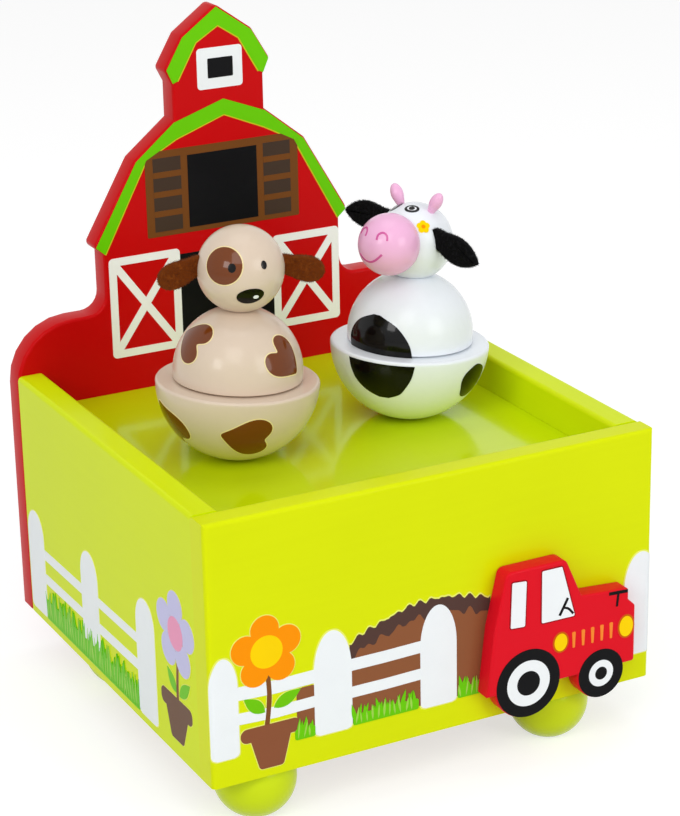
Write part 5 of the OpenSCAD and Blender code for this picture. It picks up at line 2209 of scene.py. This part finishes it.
@dataclass
class Cow(Figure):
    """The white cow with black patches, a pink muzzle and pink horns.

    Attributes:
        muzzle_radius: the muzzle's radius.
        muzzle_out, muzzle_up: how far its middle lies ahead of the head's and above it.
        muzzle_fit: the radius of its hollow.
        horn_lean: how far the horns lean outwards.
        horn: a horn's profile.
        dome_patch, base_patch: the large patches, each row as elevation and two azimuths.
        blots: each small patch's ball, place with roll, and shape.
        eyes: each eye's azimuth, elevation and half width.
        cheek: where the flower lies on the head.
        nostrils, mouth: where each lies on the muzzle.
        nostril_line, mouth_line: how each is drawn.
    """

    muzzle_radius: float = 7.8
    muzzle_out: float = 10.3
    muzzle_up: float = 1.0
    muzzle_fit: float = 9.83
    horn_lean: float = 29.0
    horn: Path = (
        (0.85, -0.3), (1.25, 1.0), (1.58, 2.5), (1.5, 3.8), (1.05, 4.9), (0.55, 5.42), (0.0, 5.6))
    dome_patch: tuple[Corner, ...] = (
        (-7.7, -29.5, 40), (3, -30, 37.5), (13, -25.5, 31), (21, -17, 21.5), (27.4, -3, 5))
    base_patch: tuple[Corner, ...] = (
        (-2.3, -10, 41.5), (-11, -8, 39.8), (-19, -4, 36), (-26, 4, 31), (-30.2, 14, 22))
    blots: tuple[tuple[Ball, Corner, Corner], ...] = (
        (Ball.BASE, (95.5, -20, -8), (4.6, 4.9, 0.3)), (Ball.BASE, (-118, -20, 0), (6.5, 6.0, 1.1)),
        (Ball.BASE, (172, -24, 0), (8.0, 6.4, 2.0)), (Ball.DOME, (178, 30, 0), (6.4, 6.6, 0.8)),
        (Ball.DOME, (-112, 34, 0), (5.2, 5.8, 2.6)), (Ball.HEAD, (172, 12, 0), (4.6, 5.0, 1.7)))
    eyes: tuple[Corner, ...] = ((21, 68.7, 1.9), (-68, 58, 2.5))
    cheek: Point = (52, 35.7)
    nostrils: Path = ((23, 28), (-28, 30))
    nostril_line: Path = ((-1.35, -1.0), (-1.1, 0.3), (0, 0.95), (1.1, 0.3), (1.35, -1.0))
    mouth: Path = ((-2, -10),)
    mouth_line: Path = ((-3.6, -0.7), (-2.0, -1.7), (-0.1, -2.0), (1.8, -1.2), (3.7, 0.5))

    def paint_figure(self) -> None:
        """Add the muzzle and horns, then paint patches and face."""
        self.turn_muzzle()
        self.turn_horns()
        for ball, edges in ((Ball.DOME, self.dome_patch), (Ball.BASE, self.base_patch)):
            one, other = (eased([(row[side], row[0]) for row in edges]) for side in (1, 2))
            middle, radius = self.balls[ball]
            face = BeltFace(Vector((0, 0, middle)), radius, self.place())
            self.sheet.film(BLACK_GLOSS, face).ribbon(one, other, 0.12, 20)
        for ball, place, sizes in self.blots:
            self.sheet.film(BLACK_GLOSS, self.on(ball, *place)).patch(blot(*sizes), 0.12)
        self.paint_face()

    def turn_muzzle(self) -> None:
        """Turn the muzzle, hollowed to fit the head."""
        reach = math.hypot(self.muzzle_out, self.muzzle_up)
        lean = math.pi / 2 - math.atan2(self.muzzle_up, self.muzzle_out)
        place = self.place() @ Matrix.Translation((0, 0, self.head_middle)) @ Matrix.Rotation(lean, 4, "X")
        seam = (reach ** 2 + self.muzzle_fit ** 2 - self.muzzle_radius ** 2) / (2 * reach)
        inner = arc(self.muzzle_fit, 0.0, seam, self.muzzle_fit, 16)
        outer = arc(self.muzzle_radius, reach, seam, reach + self.muzzle_radius)
        profile = [(0.0, self.muzzle_fit), *reversed(inner[:-1]), *outer[1:-1],
                   (0.0, reach + self.muzzle_radius)]
        self.shop.turned("cow_muzzle", profile, place, PINK, "cow", "pink_paint")

    def turn_horns(self) -> None:
        """Turn both horns."""
        profile = [(0.0, self.horn[0][1]), *((max(0.0, radius), up) for radius, up in eased(self.horn))]
        for side, sign in (("left", 1), ("right", -1)):
            place = (self.place() @ Matrix.Translation((0, 0, self.head_middle))
                     @ tilted(sign * self.horn_lean, "Y") @ Matrix.Translation((0, 0, self.head_radius)))
            self.shop.turned(f"cow_{side}_horn", profile, place, PINK, "cow", "pink_paint", steps=48)

    def paint_face(self) -> None:
        """Paint the eyes, a cheek flower, nostrils and mouth."""
        for azimuth, elevation, wide in self.eyes:
            self.dots(Dot(BLACK_GLOSS, azimuth, elevation, wide, 0.8 * wide, 0.1),
                      Dot(WHITE_INK, azimuth, elevation, 1.2, 0.85, 0.14),
                      Dot(BLACK_GLOSS, azimuth, elevation, 0.75, 0.75, 0.18, rings=2, steps=24))
        cheek = self.on(Ball.HEAD, *self.cheek)
        for k in range(5):
            angle = math.radians(90 + 72 * k)
            petal = oval((0.95 * math.cos(angle), 0.95 * math.sin(angle)), 0.78, 0.78, 16)
            self.sheet.film(YELLOW, cheek).plate(petal, 0.12)
        self.dots(Dot(ORANGE, *self.cheek, 0.5, 0.5, 0.17, rings=2, steps=16))
        middle = Vector((0, -self.muzzle_out, self.head_middle + self.muzzle_up))
        for places, line, width in ((self.nostrils, self.nostril_line, 0.5),
                                    (self.mouth, self.mouth_line, 0.55)):
            for azimuth, elevation in places:
                face = BallFace(middle, self.muzzle_radius, azimuth, elevation, 0, self.place())
                self.sheet.film(ROSE, face).stroke(eased(line), width, 0.1)


# The movement


@dataclass
class Movement(Assembly):
    """The clockwork, magnets and dowels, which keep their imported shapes.

    Attributes:
        finishes: which finish each of the record's slots gets.
    """

    finishes: dict[str, Finish] = field(default_factory=lambda: {
        "plain_wood": DOWEL_WOOD, "magnet": CHROME, "zinc": ZINC, "steel": STEEL, "brass": BRASS,
        "white_plastic": IVORY})

    def build(self) -> None:
        """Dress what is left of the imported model, and round the key."""
        key = "winding_key"
        self.shop.piece("polished_" + key, self.shop.smoothed(key, 50), BRASS, "rotor", key, "brass")
        for row in self.shop.record["subparts"]:
            finish = self.finishes.get(row["material_slot"])
            if finish is None or row["node"] == key:
                continue
            node = self.shop.nodes[row["node"]]
            if not node.material_slots:
                node.data.materials.append(None)
            for slot in node.material_slots:
                slot.material = finish.material()
            LOG.info("%s: packed shape, %s", row["node"], finish.name)


# The studio


@dataclass
class Studio:
    """Camera, lamps, white surroundings and a pale floor.

    Attributes:
        eye: where the camera stands.
        azimuth, elevation, roll: which way it looks back from the object.
        focal: its focal length in pixels of the photograph.
        photo_height: how many pixels high the photograph is.
        sensor: how high the camera's sensor is.
        ambient: how bright the surroundings light the object.
        lamps: each lamp's name, place, side and power in watts.
        aim: what the lamps look at.
        floor_radius: how far the floor reaches.
        floor_matt: how bright the floor is as a light on the object.
        floor_shown, floor_glow: how bright it is to look at, lit and by itself.
    """

    eye: Corner = (-269.32, -532.51, 299.24)
    azimuth: float = -27.228
    elevation: float = 20.341
    roll: float = -1.161
    focal: float = 2539.44
    photo_height: float = 816.0
    sensor: float = 36.0
    ambient: float = 0.5
    lamps: tuple[tuple[str, Corner, float, float], ...] = (
        ("key_lamp", (-520, -760, 950), 620, 3.4), ("front_lamp", (420, -980, 480), 520, 3.0),
        ("top_lamp", (60, 120, 1150), 700, 1.9), ("side_lamp", (-817, -386, 500), 260, 1.45))
    aim: Corner = (0.0, 0.0, 75.0)
    floor_radius: float = 6000.0
    floor_matt: float = 0.8
    floor_shown: float = 0.52
    floor_glow: float = 0.63

    def build(self) -> None:
        """Set up the whole studio."""
        self.set_camera()
        self.set_surroundings()
        self.set_floor()
        self.hang_lamps()
        bpy.context.scene.view_settings.view_transform = "Standard"

    def set_camera(self) -> None:
        """Stand the camera where the photograph was taken from."""
        back, right = direction(self.azimuth, self.elevation), direction(self.azimuth + 90, 0)
        up, roll = back.cross(right), math.radians(self.roll)
        right, up = right * math.cos(roll) + up * math.sin(roll), up * math.cos(roll) - right * math.sin(roll)
        lens = bpy.data.cameras.new("camera")
        lens.sensor_fit, lens.sensor_height = "VERTICAL", self.sensor
        lens.lens = self.focal * self.sensor / self.photo_height
        lens.clip_start = 0.01
        camera = in_scene("camera", lens)
        axes = Matrix((right, up, back)).transposed().to_4x4()
        camera.matrix_world = Matrix.Translation(Vector(self.eye) * MM) @ axes
        bpy.context.scene.camera = camera

    def seen(self, nodes: Nodes) -> Val:
        """1 on a ray that shows the background, straight or in a reflection.

        Args:
            nodes: the tree that asks.

        Returns:
            1 or 0.
        """
        path = nodes.node("ShaderNodeLightPath")
        camera, glossy, through = (Val(nodes, path.outputs[name])
                                   for name in ("Is Camera Ray", "Is Glossy Ray", "Is Transmission Ray"))
        return camera.larger(glossy).larger(through)

    def set_surroundings(self) -> None:
        """Make the surroundings white to look at and softer as a light."""
        world = bpy.data.worlds.new("white_room")
        world.use_nodes = True
        nodes = Nodes(world.node_tree)
        nodes.tree.nodes.clear()
        strength = self.ambient + self.seen(nodes) * (1.0 - self.ambient)
        light = nodes.node("ShaderNodeBackground", None, {"Color": (1.0, 1.0, 1.0), "Strength": strength})
        nodes.node("ShaderNodeOutputWorld", None, {"Surface": light.outputs[0]})
        bpy.context.scene.world = world

    def set_floor(self) -> None:
        """Lay a white floor that keeps the object's shadow."""
        shell = Shell()
        rim = oval((0, 0), self.floor_radius, self.floor_radius, 64)
        shell.cap(shell.ring(Vector((u, v, 0)) for u, v in rim))
        mesh = bpy.data.meshes.new("floor")
        mesh.from_pydata([p * MM for p in shell.points], [], shell.faces)
        material = bpy.data.materials.new("white_floor")
        material.use_nodes = True
        nodes = Nodes(material.node_tree)
        nodes.tree.nodes.clear()
        matt, shown = (nodes.node("ShaderNodeBsdfDiffuse", None, {"Color": (grey, grey, grey)})
                       for grey in (self.floor_matt, self.floor_shown))
        glow = nodes.node("ShaderNodeEmission", None, {"Color": (1.0, 1.0, 1.0), "Strength": self.floor_glow})
        both = nodes.node("ShaderNodeAddShader", None, {0: shown.outputs[0], 1: glow.outputs[0]})
        mixed = nodes.node("ShaderNodeMixShader", None,
                           {0: self.seen(nodes), 1: matt.outputs[0], 2: both.outputs[0]})
        nodes.node("ShaderNodeOutputMaterial", None, {"Surface": mixed.outputs[0]})
        mesh.materials.append(material)
        floor = in_scene("floor", mesh)
        floor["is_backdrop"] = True

    def hang_lamps(self) -> None:
        """Hang square soft lamps that look at the object."""
        for name, place, size, power in self.lamps:
            lamp = bpy.data.lights.new(name, "AREA")
            lamp.shape, lamp.size, lamp.energy = "SQUARE", size * MM, power
            made = in_scene(name, lamp)
            way = (Vector(self.aim) - Vector(place)).to_track_quat("-Z", "Y").to_matrix().to_4x4()
            made.matrix_world = Matrix.Translation(Vector(place) * MM) @ way


def main() -> list[list[float]]:
    """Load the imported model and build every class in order.

    Returns:
        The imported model's own box.
    """
    logging.basicConfig(level=logging.INFO, format="%(name)s: %(message)s")
    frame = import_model()
    packed = [list(corner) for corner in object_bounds()]
    Studio().build()
    shop = Workshop(frame)
    dog = Dog(
        shop, name="dog", spot=(-23.496, -0.41), turn=-16.0, neck=37.216, head_middle=47.256,
        head_radius=10.7,
        ear=Ear(long=10.2, wide=6.4, belly=0.6, tip=0.5, root=5.0, droop=19.0, uneven=-6.0, stalk=2.4),
        paint=BEIGE, paint_slot="beige_paint", felt=DOG_FELT, felt_slot="brown_felt")
    cow = Cow(
        shop, name="cow", spot=(26.699, 3.278), turn=-67.0, neck=36.913, head_middle=45.457,
        head_radius=9.8,
        ear=Ear(long=13.3, wide=6.9, belly=0.48, tip=0.85, root=24.0, droop=9.0, uneven=9.0, ahead=2.4,
                lower=1.2, stalk=2.5),
        paint=COW_WHITE, paint_slot="white_paint", felt=COW_FELT, felt_slot="black_felt")
    for assembly in (Case(shop), FrontPrint(shop), SidePrint(shop, -1), SidePrint(shop, 1), Barn(shop),
                     Tractor(shop), dog, cow, Movement(shop)):
        LOG.info("building %s", type(assembly).__name__)
        assembly.build()
    return packed


if __name__ == "__main__":
    cad_box = main()
